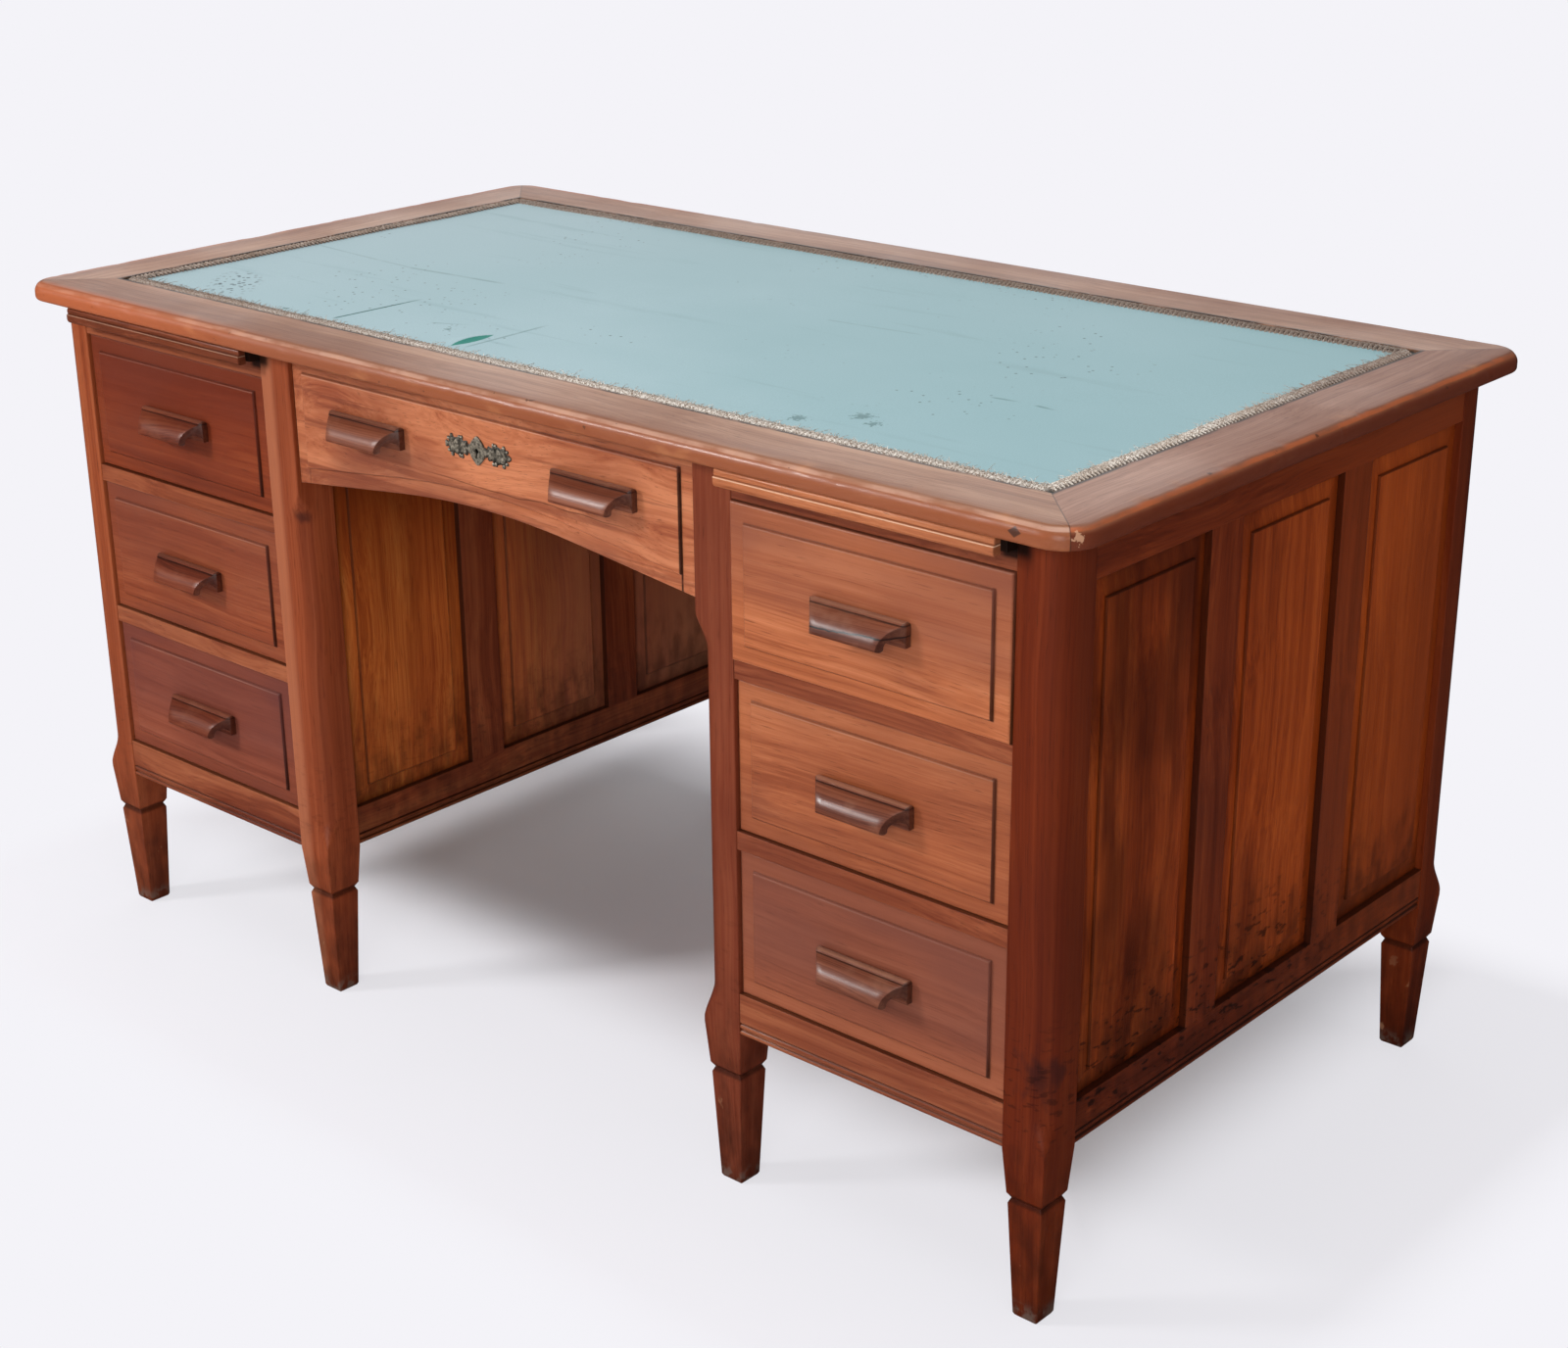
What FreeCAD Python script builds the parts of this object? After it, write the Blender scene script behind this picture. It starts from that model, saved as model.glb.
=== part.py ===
import FreeCAD, Part
import math
import os

# Pedestal writing desk in varnished hardwood, in millimetres. +Z is up and the drawers face -Y.
# The origin is on the floor under the middle of the desk's whole depth, pulls included.

# Whole desk
desk_height = 775.0
carcass_length = 1396.0
carcass_depth = 720.0
knee_width = 576.0

# Desk top: a mitred border round a panel that carries the writing surface
top_overhang = 28.0
top_thickness = 20.0
top_corner_radius = 35.0
top_upper_round = 11.0
top_lower_arris = 4.0
border_width = 79.0
top_panel_drop = 4.0
top_panel_thickness = 14.0
top_tongue_length = 8.0
top_tongue_thickness = 6.0
cloth_thickness = 1.6
cloth_clearance = 0.5

# Posts, each cut with its foot from one square
post_size = 47.0
post_round = 27.0
stop_length = 44.0
stop_sections = 5
stop_tip_share = 0.02
knee_stop_drop = 6.0
ankle_height = 131.0
ankle_size = 40.0
groove_height = 11.0
groove_size = 33.0
foot_top_size = 38.0
foot_bottom_size = 27.5

# Framed and panelled sides
floor_clearance = 177.0
bottom_rail_height = 45.0
top_rail_height = 44.0
frame_thickness = 22.0
frame_reveal = 1.0
muntin_width = 50.0
side_panels = 3
back_panels = 2
knee_panels = 3
reed_height = 5.5
reed_quirk = 1.4
reed_depth = 2.0
panel_margin = 21.0
panel_field_depth = 2.0
panel_step_depth = 5.0
panel_edge_depth = 7.5
panel_back_depth = 14.0
panel_arris = 1.2
panel_tongue = 6.0

# Drawer rails, runners and the slot of the writing slide
drawers_in_pedestal = 3
drawer_rail_thickness = 19.0
slide_slot_height = 15.5
runner_ledge = 14.0
guide_height = 20.0

# Drawers
drawer_gap = 1.0
drawer_recess = 4.0
front_thickness = 22.0
front_arris = 2.0
field_margin = 17.5
field_step = 3.0
field_arris = 1.2
side_thickness = 11.0
side_drop = 22.0
back_thickness = 12.0
back_drop = 8.0
drawer_bottom_thickness = 6.0
drawer_bottom_lift = 12.0
drawer_groove_depth = 5.0
rear_clearance = 20.0
running_clearance = 0.3
tails = 3
tail_length = 15.0
tail_root_share = 0.55
tail_tip_share = 0.72
top_right_drawer_ajar = 7.0

# Centre drawer
centre_top_gap = 1.5
centre_end_height = 139.5
arch_rise = 27.0
arch_crown = 250.0
centre_rear_clearance = 133.0
centre_bearer_width = 15.0
centre_bearer_height = 16.0
centre_bearer_lift = 4.0
centre_side_drop = 6.0

# Moulded wooden pulls, with their cross-section as shares of depth and height
pull_length = 108.0
pull_depth = 27.7
pull_height = 25.7
pull_end_cut = 16.5
pull_rise = 11.5
centre_pull_spacing = 326.0
centre_pull_drop = 46.5
pull_plate_share = 0.25
pull_start_shares = (0.0, -0.92)
pull_step_shares = (
    ((pull_plate_share, -0.92),),
    ((0.56, -0.57), (0.823, -0.895)),
    ((0.928, -1.0), (1.0, -0.856)),
    ((0.815, -0.45), (0.36, -0.14)),
    ((0.36, -0.08),),
    ((0.24, 0.0), (0.0, -0.18)),
    ((0.0, -0.92),),
)

# Lock, bolt and escutcheon of the centre drawer
lock_width = 62.0
lock_height = 66.0
lock_thickness = 12.0
bolt_width = 18.0
bolt_thickness = 7.0
bolt_length = 24.0
bolt_drop = 0.5
bolt_clearance = 0.3
bolt_travel = 7.0
strike_clearance = 2.0
key_drop = 51.0
key_radius = 2.6
key_slot_width = 2.4
key_slot_length = 7.0
key_depth = 8.0
plate_thickness = 2.2
plate_length = 93.0
plate_height = 26.0
plate_lozenge_shares = ((-0.16, 0.0), (0.0, -0.5), (0.16, 0.0), (0.0, 0.5))
plate_leaf_shares = ((0.08, 0.0), (0.28, 0.4), (0.5, 0.0), (0.28, -0.4))

# Writing slides
slide_board_thickness = 12.0
slide_board_gap = 1.0
slide_rear_clearance = 109.0
slide_out = 12.0
lip_depth = 10.0
lip_height = 15.5
lip_overlap = 1.5
lip_start_shares = (0.0, 0.0)
lip_step_shares = (
    ((0.62, 0.0),),
    ((0.91, 0.09), (1.0, 0.36)),
    ((1.0, 0.60),),
    ((0.80, 0.64),),
    ((0.86, 0.92), (0.45, 1.0)),
    ((0.0, 1.0),),
    ((0.0, 0.0),),
)

# One overrun for every cut, and the turns of a quarter circle
overrun = 5.0
quarter_turn = 90

# Places worked out from the sizes above
top_length = carcass_length + 2 * top_overhang
top_depth = carcass_depth + 2 * top_overhang
half_length = carcass_length / 2
half_depth = carcass_depth / 2
half_knee = knee_width / 2
top_underside = desk_height - top_thickness
pedestal_middle = (half_length + half_knee) / 2
opening_width = half_length - half_knee - 2 * post_size
half_opening = opening_width / 2
frame_length = carcass_depth - 2 * post_size
outer_post_x = half_length - post_size / 2
inner_post_x = half_knee + post_size / 2
post_y = half_depth - post_size / 2
opening_low = floor_clearance + bottom_rail_height
opening_high = top_underside - top_rail_height
slide_sill = top_underside - slide_slot_height
drawer_stack = slide_sill - opening_low - drawers_in_pedestal * drawer_rail_thickness
drawer_opening = drawer_stack / drawers_in_pedestal
drawer_pitch = drawer_opening + drawer_rail_thickness
front_face_y = -half_depth + drawer_recess
back_inner_y = half_depth - frame_reveal - frame_thickness
drawer_length = back_inner_y - rear_clearance - front_face_y
centre_drawer_length = back_inner_y - centre_rear_clearance - front_face_y
centre_top = top_underside - centre_top_gap
centre_end = centre_top - centre_end_height
arch_slope = arch_rise / (half_knee - arch_crown / 4)
centre_sill = centre_end + arch_rise + centre_bearer_lift
key_height = centre_top - key_drop
foremost_pull_y = front_face_y - field_step - pull_depth - top_right_drawer_ajar
footprint_shift = -(foremost_pull_y + top_depth / 2) / 2

os.makedirs("parts", exist_ok=True)
V = FreeCAD.Vector
UP = V(0, 0, 1)
CENTRE = V(0, 0, 0)


def block(x, y, z):
    """A rectangular block between two limits on each axis, given in either order."""
    corner = V(min(x), min(y), min(z))
    return Part.makeBox(max(x) - min(x), max(y) - min(y), max(z) - min(z), corner)


def outline(start, steps):
    """A closed flat face: a step of one point is a straight edge, a step of two an arc through the first."""
    edges = []
    last = start
    for step in steps:
        if len(step) == 1:
            edges.append(Part.LineSegment(last, step[0]).toShape())
        else:
            edges.append(Part.Arc(last, step[0], step[1]).toShape())
        last = step[-1]
    return Part.Face(Part.Wire(edges))


def moulding(start_shares, step_shares, depth, height, length):
    """A moulded strip along X: its section, in shares of depth and height, points forward along -Y."""
    def place(shares):
        return V(-length / 2, -shares[0] * depth, shares[1] * height)
    steps = [[place(shares) for shares in step] for step in step_shares]
    return outline(place(start_shares), steps).extrude(V(length, 0, 0))


def fused(solids):
    """One solid from pieces that touch or overlap."""
    return solids[0].multiFuse(solids[1:]).removeSplitter()


def turned(shape, quarters, x, y):
    """The shape turned about the vertical by quarter turns, then set at a place on the floor plan."""
    result = shape.copy()
    result.rotate(CENTRE, UP, quarters * quarter_turn)
    result.translate(V(x, y, 0))
    return result


def write(name, solids):
    """One file for a node, a single solid or a group, with the whole desk moved to stand about the origin."""
    shape = solids[0].copy() if len(solids) == 1 else Part.makeCompound(solids)
    shape.translate(V(0, footprint_shift, 0))
    shape.exportStep("parts/" + name + ".step")


# Framed sides, built as if facing -Y: X along the side, Y the depth behind its face, Z up


def bevelled_block(width, near, far):
    """A block between two depths; each is given with how far the opening's rectangle is drawn in there."""
    x = width / 2
    near_y, near_in = near
    far_y, far_in = far
    return Part.makeWedge(
        -x + near_in, near_y, opening_low + near_in, opening_low + far_in, -x + far_in,
        x - near_in, far_y, opening_high - near_in, opening_high - far_in, x - far_in,
    )


def raised_panel(width):
    """A panel with a sloping margin round a raised field, and a tongue all round for the grooves."""
    tongue_x = width / 2 + panel_tongue
    tongue_z = (opening_low - panel_tongue, opening_high + panel_tongue)
    tongue = block((-tongue_x, tongue_x), (panel_edge_depth, panel_back_depth), tongue_z)
    sections = (
        (panel_field_depth, panel_margin + panel_arris),
        (panel_field_depth + panel_arris, panel_margin),
        (panel_step_depth, panel_margin),
        (panel_edge_depth, 0),
    )
    layers = [bevelled_block(width, near, far) for near, far in zip(sections, sections[1:])]
    return fused(layers + [tongue])


def reeded_rail(length):
    """A bottom rail with two reeds along its lower edge."""
    def place(depth, rise):
        return V(-length / 2, depth, floor_clearance + rise)
    second = reed_height + reed_quirk
    face_low = second + reed_height + reed_quirk
    steps = [
        [place(0, reed_height / 2), place(reed_depth, reed_height)],
        [place(reed_depth, second)],
        [place(0, second + reed_height / 2), place(reed_depth, second + reed_height)],
        [place(reed_depth, face_low)],
        [place(0, face_low)],
        [place(0, bottom_rail_height)],
        [place(frame_thickness, bottom_rail_height)],
        [place(frame_thickness, 0)],
        [place(reed_depth, 0)],
    ]
    return outline(place(reed_depth, 0), steps).extrude(V(length, 0, 0))


def muntin(middle):
    """An upright between two panels: grooved on both edges, with stub tenons in the rails."""
    half = muntin_width / 2
    groove_y = (panel_edge_depth, panel_back_depth)
    core_x = (middle - half + panel_tongue, middle + half - panel_tongue)
    body = block((middle - half, middle + half), (0, frame_thickness), (opening_low, opening_high))
    tongue_z = (opening_low - panel_tongue, opening_high + panel_tongue)
    for edge, core in ((middle - half, core_x[0]), (middle + half, core_x[1])):
        body = body.cut(block((edge, core), groove_y, tongue_z))
    return fused([body, block(core_x, groove_y, tongue_z)])


def framed_side(length, panels):
    """The frame pieces, the panels and the grooves in the posts of one side."""
    half = length / 2
    groove_y = (panel_edge_depth, panel_back_depth)
    groove_z = (opening_low - panel_tongue, opening_high + panel_tongue)
    panel_width = (length - (panels - 1) * muntin_width) / panels
    pitch = panel_width + muntin_width
    first = -half + panel_width / 2
    grooves = [block((side * half, side * (half + panel_tongue)), groove_y, groove_z) for side in (-1, 1)]
    rail_groove = block((-half, half), groove_y, groove_z)
    top_rail = block((-half, half), (0, frame_thickness), (opening_high, top_underside))
    frame = [reeded_rail(length).cut(rail_groove), top_rail.cut(rail_groove)]
    frame += [muntin(first + (k + 1 / 2) * pitch) for k in range(panels - 1)]
    fields = []
    for k in range(panels):
        panel = raised_panel(panel_width)
        panel.translate(V(first + k * pitch, 0, 0))
        fields.append(panel)
    return frame, fields, grooves


post_grooves = []
face_x = half_length - frame_reveal
knee_face_x = half_knee + frame_reveal
face_y = half_depth - frame_reveal
framed_sides = (
    ("left_outer_side", frame_length, side_panels, -1, -face_x, 0),
    ("left_inner_side", frame_length, side_panels, 1, -knee_face_x, 0),
    ("right_inner_side", frame_length, side_panels, -1, knee_face_x, 0),
    ("right_outer_side", frame_length, side_panels, 1, face_x, 0),
    ("left_back", opening_width, back_panels, 2, -pedestal_middle, face_y),
    ("right_back", opening_width, back_panels, 2, pedestal_middle, face_y),
    ("knee_back", knee_width, knee_panels, 2, 0, face_y),
)
for name, length, panels, quarters, x, y in framed_sides:
    frame, fields, grooves = framed_side(length, panels)
    write(name + "_frame", [turned(piece, quarters, x, y) for piece in frame])
    write(name + "_panels", [turned(piece, quarters, x, y) for piece in fields])
    post_grooves += [turned(groove, quarters, x, y) for groove in grooves]


# Posts


def tapered_length(lower, upper):
    """A square length of a post between two levels, each given as its height and the post's size there."""
    low_z, low_size = lower
    high_z, high_size = upper
    low = low_size / 2
    high = high_size / 2
    length = Part.makeWedge(-low, low_z, -low, -high, -high, low, high_z, low, high, high)
    length.rotate(CENTRE, V(1, 0, 0), quarter_turn)
    return length


def corner_waste(radius, z):
    """The section cut away outside a rounded corner that lies at the origin and opens towards +X +Y."""
    bend = radius * (1 - math.sqrt(2) / 2)
    edges = [
        Part.makePolygon([V(0, radius, z), V(-overrun, radius, z), V(-overrun, -overrun, z)]),
        Part.makePolygon([V(-overrun, -overrun, z), V(radius, -overrun, z), V(radius, 0, z)]),
        Part.Arc(V(radius, 0, z), V(bend, bend, z), V(0, radius, z)).toShape(),
    ]
    return Part.Wire(edges)


def rounding_tool(low, high, stopped):
    """The waste along a rounded corner. S-curved stops run it out below, and above if it is stopped there."""
    def radius_at(step):
        share = (1 - math.cos(math.pi * step / stop_sections)) / 2
        return post_round * max(share, stop_tip_share)
    steps = range(stop_sections + 1)
    sections = [(low + stop_length * step / stop_sections, radius_at(step)) for step in steps]
    if stopped:
        sections += [(high - stop_length * step / stop_sections, radius_at(step)) for step in reversed(steps)]
    else:
        sections.append((high + overrun, post_round))
    return Part.makeLoft([corner_waste(radius, z) for z, radius in sections], True, True)


def post(x, y, rounded_quarter, stop_height):
    """A post with its foot; rounded_quarter is the corner that is rounded, in quarter turns, or None."""
    levels = (
        (0, foot_bottom_size),
        (ankle_height - groove_height, foot_top_size),
        (ankle_height - groove_height / 2, groove_size),
        (ankle_height, ankle_size),
        (floor_clearance, post_size),
        (top_underside, post_size),
    )
    solid = fused([tapered_length(lower, upper) for lower, upper in zip(levels, levels[1:])])
    if rounded_quarter is not None:
        tool = rounding_tool(floor_clearance, stop_height, stop_height < top_underside)
        tool.translate(V(-post_size / 2, -post_size / 2, 0))
        solid = solid.cut(turned(tool, rounded_quarter, 0, 0))
    solid.translate(V(x, y, 0))
    return solid.cut(Part.makeCompound(post_grooves))


knee_stop = centre_end - knee_stop_drop
posts = (
    ("left_outer_front_post", -outer_post_x, -post_y, 0, top_underside),
    ("left_inner_front_post", -inner_post_x, -post_y, 1, knee_stop),
    ("right_inner_front_post", inner_post_x, -post_y, 0, knee_stop),
    ("right_outer_front_post", outer_post_x, -post_y, 1, top_underside),
    ("left_outer_back_post", -outer_post_x, post_y, 3, top_underside),
    ("left_inner_back_post", -inner_post_x, post_y, None, top_underside),
    ("right_inner_back_post", inner_post_x, post_y, None, top_underside),
    ("right_outer_back_post", outer_post_x, post_y, 2, top_underside),
)
for name, x, y, rounded_quarter, stop_height in posts:
    write(name, [post(x, y, rounded_quarter, stop_height)])


# Desk top


def rounded_slab():
    """The whole top as one slab: rounded corners, a rounded upper edge and a small arris below."""
    x = top_length / 2
    y = top_depth / 2
    middle = (top_underside + desk_height) / 2
    slab = block((-x, x), (-y, y), (top_underside, desk_height))
    uprights = [edge for edge in slab.Edges if edge.BoundBox.ZLength > top_thickness / 2]
    slab = slab.makeFillet(top_corner_radius, uprights)
    upper_rim = [edge for edge in slab.Edges if edge.BoundBox.ZMin > middle]
    slab = slab.makeFillet(top_upper_round, upper_rim)
    lower_rim = [edge for edge in slab.Edges if edge.BoundBox.ZMax < top_underside + top_lower_arris / 2]
    return slab.makeChamfer(top_lower_arris, lower_rim)


inner_x = top_length / 2 - border_width
inner_y = top_depth / 2 - border_width
outer_x = top_length / 2 + overrun
outer_y = top_depth / 2 + overrun
panel_z = desk_height - top_panel_drop
tongue_low = panel_z - (top_panel_thickness + top_tongue_thickness) / 2
tongue_z = (tongue_low, tongue_low + top_tongue_thickness)
tongue_x = inner_x + top_tongue_length
tongue_y = inner_y + top_tongue_length
top_hole = block((-inner_x, inner_x), (-inner_y, inner_y), (top_underside - overrun, desk_height + overrun))
top_groove = block((-tongue_x, tongue_x), (-tongue_y, tongue_y), tongue_z)
bolt_y = front_face_y + front_thickness - lock_thickness / 2
strike_x = bolt_width / 2 + strike_clearance
strike_y = bolt_thickness / 2 + strike_clearance
strike_top = centre_top - bolt_drop + bolt_travel + strike_clearance
strike_z = (top_underside - overrun, strike_top)
strike = block((-strike_x, strike_x), (bolt_y - strike_y, bolt_y + strike_y), strike_z)
border = rounded_slab().cut(top_hole).cut(top_groove).cut(strike)
mitres = (
    ("top_front_rail", (-outer_x, -outer_y), (outer_x, -outer_y), (inner_x, -inner_y), (-inner_x, -inner_y)),
    ("top_right_rail", (outer_x, -outer_y), (outer_x, outer_y), (inner_x, inner_y), (inner_x, -inner_y)),
    ("top_back_rail", (outer_x, outer_y), (-outer_x, outer_y), (-inner_x, inner_y), (inner_x, inner_y)),
    ("top_left_rail", (-outer_x, outer_y), (-outer_x, -outer_y), (-inner_x, -inner_y), (-inner_x, inner_y)),
)
for name, *corners in mitres:
    points = [V(x, y, top_underside - overrun) for x, y in corners]
    wedge = Part.Face(Part.makePolygon(points + points[:1])).extrude(UP * (top_thickness + 2 * overrun))
    write(name, border.common(wedge).Solids)

top_board = block((-inner_x, inner_x), (-inner_y, inner_y), (panel_z - top_panel_thickness, panel_z))
write("top_panel", [fused([top_board, top_groove])])
cloth_x = inner_x - cloth_clearance
cloth_y = inner_y - cloth_clearance
cloth_z = (panel_z, panel_z + cloth_thickness)
write("writing_surface", [block((-cloth_x, cloth_x), (-cloth_y, cloth_y), cloth_z)])


# Front rails, runners and bearers of each pedestal


def runner_and_guide(edge_x, frame_x, sill, guide):
    """A strip under the drawer side, and a guide on top of it beside the drawer, between the posts."""
    y = (-frame_length / 2, frame_length / 2)
    ledge_x = edge_x + math.copysign(runner_ledge, edge_x - frame_x)
    return [
        block((ledge_x, frame_x), y, (sill - drawer_rail_thickness, sill)),
        block((edge_x, frame_x), y, (sill, sill + guide)),
    ]


sills = [opening_low + k * drawer_pitch for k in range(drawers_in_pedestal)] + [slide_sill]
outer_frame_x = half_length - frame_reveal - frame_thickness
knee_frame_x = half_knee + frame_reveal + frame_thickness
for name, side in (("left", -1), ("right", 1)):
    middle = side * pedestal_middle
    rail_x = (middle - half_opening, middle + half_opening)
    rail_y = (-half_depth + frame_reveal, -half_depth + post_size)
    rails = [turned(reeded_rail(opening_width), 0, middle, -half_depth + frame_reveal)]
    rails += [block(rail_x, rail_y, (sill - drawer_rail_thickness, sill)) for sill in sills[1:]]
    write(name + "_front_rails", rails)
    runners = []
    for sill in sills:
        guide = slide_slot_height if sill == slide_sill else guide_height
        runners += runner_and_guide(middle - side * half_opening, side * knee_frame_x, sill, guide)
        runners += runner_and_guide(middle + side * half_opening, side * outer_frame_x, sill, guide)
    bearer_x = (side * knee_face_x, side * (knee_face_x - centre_bearer_width))
    bearer_z = (centre_sill - centre_bearer_height, centre_sill)
    runners.append(block(bearer_x, (-frame_length / 2, frame_length / 2), bearer_z))
    write(name + "_runners", runners)


# Drawers, built with X about the middle, Y behind the face of the front and Z above the desk's floor


def front_outline(half, low, high, y):
    """The face of a plain front."""
    corners = [V(-half, y, low), V(half, y, low), V(half, y, high), V(-half, y, high)]
    return Part.Face(Part.makePolygon(corners + corners[:1]))


def arched_outline(half, low, high, y):
    """The face of the centre front: straight slopes from each end to an arched crown in the lower edge."""
    crown = arch_crown / 2
    shoulder = low + arch_slope * (half - crown)
    apex = shoulder + crown * math.tan(math.atan(arch_slope) / 2)
    steps = [
        [V(-crown, y, shoulder)],
        [V(0, y, apex), V(crown, y, shoulder)],
        [V(half, y, low)],
        [V(half, y, high)],
        [V(-half, y, high)],
        [V(-half, y, low)],
    ]
    return outline(V(-half, y, low), steps)


def board_and_rim(face, thickness):
    """The face made a board towards +Y, and the edges round its front."""
    board = face.extrude(V(0, thickness, 0))
    rim = [edge for edge in board.Edges if edge.BoundBox.YMax - face.BoundBox.YMin < thickness / 2]
    return board, rim


def dovetails(side, half, low, high):
    """The tails on the front end of a drawer side: wedges that widen towards the front."""
    pitch = (high - low) / tails
    x = side * half
    root_y = front_thickness
    tip_y = front_thickness - tail_length
    wedges = []
    for k in range(tails):
        middle = low + (k + 1 / 2) * pitch
        root = pitch * tail_root_share / 2
        tip = pitch * tail_tip_share / 2
        corners = [V(x, root_y, middle - root), V(x, tip_y, middle - tip)]
        corners += [V(x, tip_y, middle + tip), V(x, root_y, middle + root)]
        wedge = Part.Face(Part.makePolygon(corners + corners[:1]))
        wedges.append(wedge.extrude(V(-side * side_thickness, 0, 0)))
    return wedges


def drawer_box(half, low, high, length):
    """The back, bottom and dovetailed sides, and what is cut in the front to take their ends."""
    inside = half - side_thickness
    bottom_z = (low + drawer_bottom_lift, low + drawer_bottom_lift + drawer_bottom_thickness)
    held = inside + drawer_groove_depth
    bottom = fused([
        block((-held, held), (front_thickness, length), bottom_z),
        block((-inside, inside), (front_thickness - drawer_groove_depth, length), bottom_z),
    ])
    back = block((-inside, inside), (length - back_thickness, length), (bottom_z[1], high - back_drop))
    box = [back, bottom]
    sockets = []
    for side in (-1, 1):
        wedges = dovetails(side, half, low, high)
        plank = block((side * inside, side * half), (front_thickness, length), (low, high))
        plank = plank.cut(block((side * inside, side * held), (front_thickness, length), bottom_z))
        box.append(fused([plank] + wedges))
        sockets += wedges
    groove = block((-inside, inside), (front_thickness - drawer_groove_depth, front_thickness), bottom_z)
    return box, Part.makeCompound(sockets + [groove])


def drawer_front(draw, half, low, high, field_low):
    """A front board with a raised field, drawn by the given outline."""
    board, rim = board_and_rim(draw(half, low, high, 0), front_thickness)
    field_face = draw(half - field_margin, field_low, high - field_margin, -field_step)
    field, field_rim = board_and_rim(field_face, field_step + front_arris)
    return fused([board.makeFillet(front_arris, rim), field.makeChamfer(field_arris, field_rim)])


def pull(x, z):
    """A moulded pull on the field of a drawer front, its top at the given height, its ends cut in towards the lip."""
    solid = moulding(pull_start_shares, pull_step_shares, pull_depth, pull_height, pull_length)
    plate_y = -pull_plate_share * pull_depth
    low = -pull_height - overrun
    front_y = plate_y - 2 * (pull_depth + plate_y)
    for side in (-1, 1):
        end = side * pull_length / 2
        far = end + side * overrun
        corners = [V(end, plate_y, low), V(end - side * 2 * pull_end_cut, front_y, low)]
        corners += [V(far, front_y, low), V(far, plate_y, low)]
        waste = Part.Face(Part.makePolygon(corners + corners[:1]))
        solid = solid.cut(waste.extrude(V(0, 0, pull_height + 2 * overrun)))
    solid.translate(V(x, -field_step, z))
    return solid


def placed(solids, x, y):
    """Copies of drawer pieces moved to their place in the desk."""
    return [turned(solid, 0, x, y) for solid in solids]


drawer_half = half_opening - drawer_gap
for side_name, side in (("left", -1), ("right", 1)):
    for level, level_name in enumerate(("bottom", "middle", "top")):
        name = side_name + "_" + level_name + "_drawer"
        ajar = top_right_drawer_ajar if name == "right_top_drawer" else 0
        x = side * pedestal_middle
        y = front_face_y - ajar
        sill = sills[level]
        low = sill + drawer_gap
        high = sill + drawer_opening - drawer_gap
        box, sockets = drawer_box(drawer_half, sill + running_clearance, high - side_drop, drawer_length)
        front = drawer_front(front_outline, drawer_half, low, high, low + field_margin).cut(sockets)
        write(name + "_front", placed([front], x, y))
        write(name + "_box", placed(box, x, y))
        write(name + "_pull", placed([pull(0, sill + drawer_opening / 2 + pull_rise)], x, y))


# Centre drawer with its lock

centre_half = half_knee - drawer_gap
centre_low = centre_sill + running_clearance
centre_high = centre_top - centre_side_drop
centre_box, centre_sockets = drawer_box(centre_half, centre_low, centre_high, centre_drawer_length)
centre_field_low = centre_end + (1 + arch_slope) * field_margin
centre_front = drawer_front(arched_outline, centre_half, centre_end, centre_top, centre_field_low)
lock_x = (-lock_width / 2, lock_width / 2)
lock_y = (front_thickness - lock_thickness, front_thickness)
lock_z = (centre_top - lock_height, centre_top)
lock_pocket = block(lock_x, lock_y, lock_z)
key_y = -field_step - plate_thickness - overrun
key_end = front_thickness - lock_thickness + key_depth
key_hole = Part.makeCylinder(key_radius, key_end - key_y, V(0, key_y, key_height), V(0, 1, 0))
centre_front = centre_front.cut(centre_sockets).cut(lock_pocket).cut(key_hole)
write("centre_drawer_front", placed([centre_front], 0, front_face_y))
write("centre_drawer_box", placed(centre_box, 0, front_face_y))
centre_pull_z = centre_top - centre_pull_drop
centre_pulls = [pull(side * centre_pull_spacing / 2, centre_pull_z) for side in (-1, 1)]
write("centre_drawer_pulls", placed(centre_pulls, 0, front_face_y))

bolt_middle = front_thickness - lock_thickness / 2
bolt_x = (-bolt_width / 2, bolt_width / 2)
bolt_y_limits = (bolt_middle - bolt_thickness / 2, bolt_middle + bolt_thickness / 2)
bolt = block(bolt_x, bolt_y_limits, (centre_top - bolt_drop - bolt_length, centre_top - bolt_drop))
bolt_way = block((bolt_x[0] - bolt_clearance, bolt_x[1] + bolt_clearance),
                 (bolt_y_limits[0] - bolt_clearance, bolt_y_limits[1] + bolt_clearance),
                 (centre_top - bolt_drop - bolt_length - bolt_clearance, centre_top + overrun))
lock_case = lock_pocket.cut(bolt_way).cut(key_hole)
write("lock_case", placed([lock_case], 0, front_face_y))
write("lock_bolt", placed([bolt], 0, front_face_y))


def escutcheon():
    """A plate with a lozenge round the keyhole and a leaf to each side, bored and slotted for the key."""
    face = -field_step

    def place(shares, side):
        return V(side * shares[0] * plate_length, face, key_height + shares[1] * plate_height)
    lozenge = [place(shares, 1) for shares in plate_lozenge_shares]
    faces = [Part.Face(Part.makePolygon(lozenge + lozenge[:1]))]
    for side in (-1, 1):
        root, upper, tip, lower = [place(shares, side) for shares in plate_leaf_shares]
        faces.append(outline(root, [[upper, tip], [lower, root]]))
    plates = [plate.extrude(V(0, -plate_thickness, 0)) for plate in faces]
    slot_x = (-key_slot_width / 2, key_slot_width / 2)
    slot_z = (key_height - key_slot_length, key_height)
    slot = block(slot_x, (face + overrun, face - plate_thickness - overrun), slot_z)
    return fused(plates).cut(key_hole).cut(slot)


write("escutcheon", placed([escutcheon()], 0, front_face_y))


# Writing slides, each a board on the top runners with a moulded lip along its front

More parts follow.
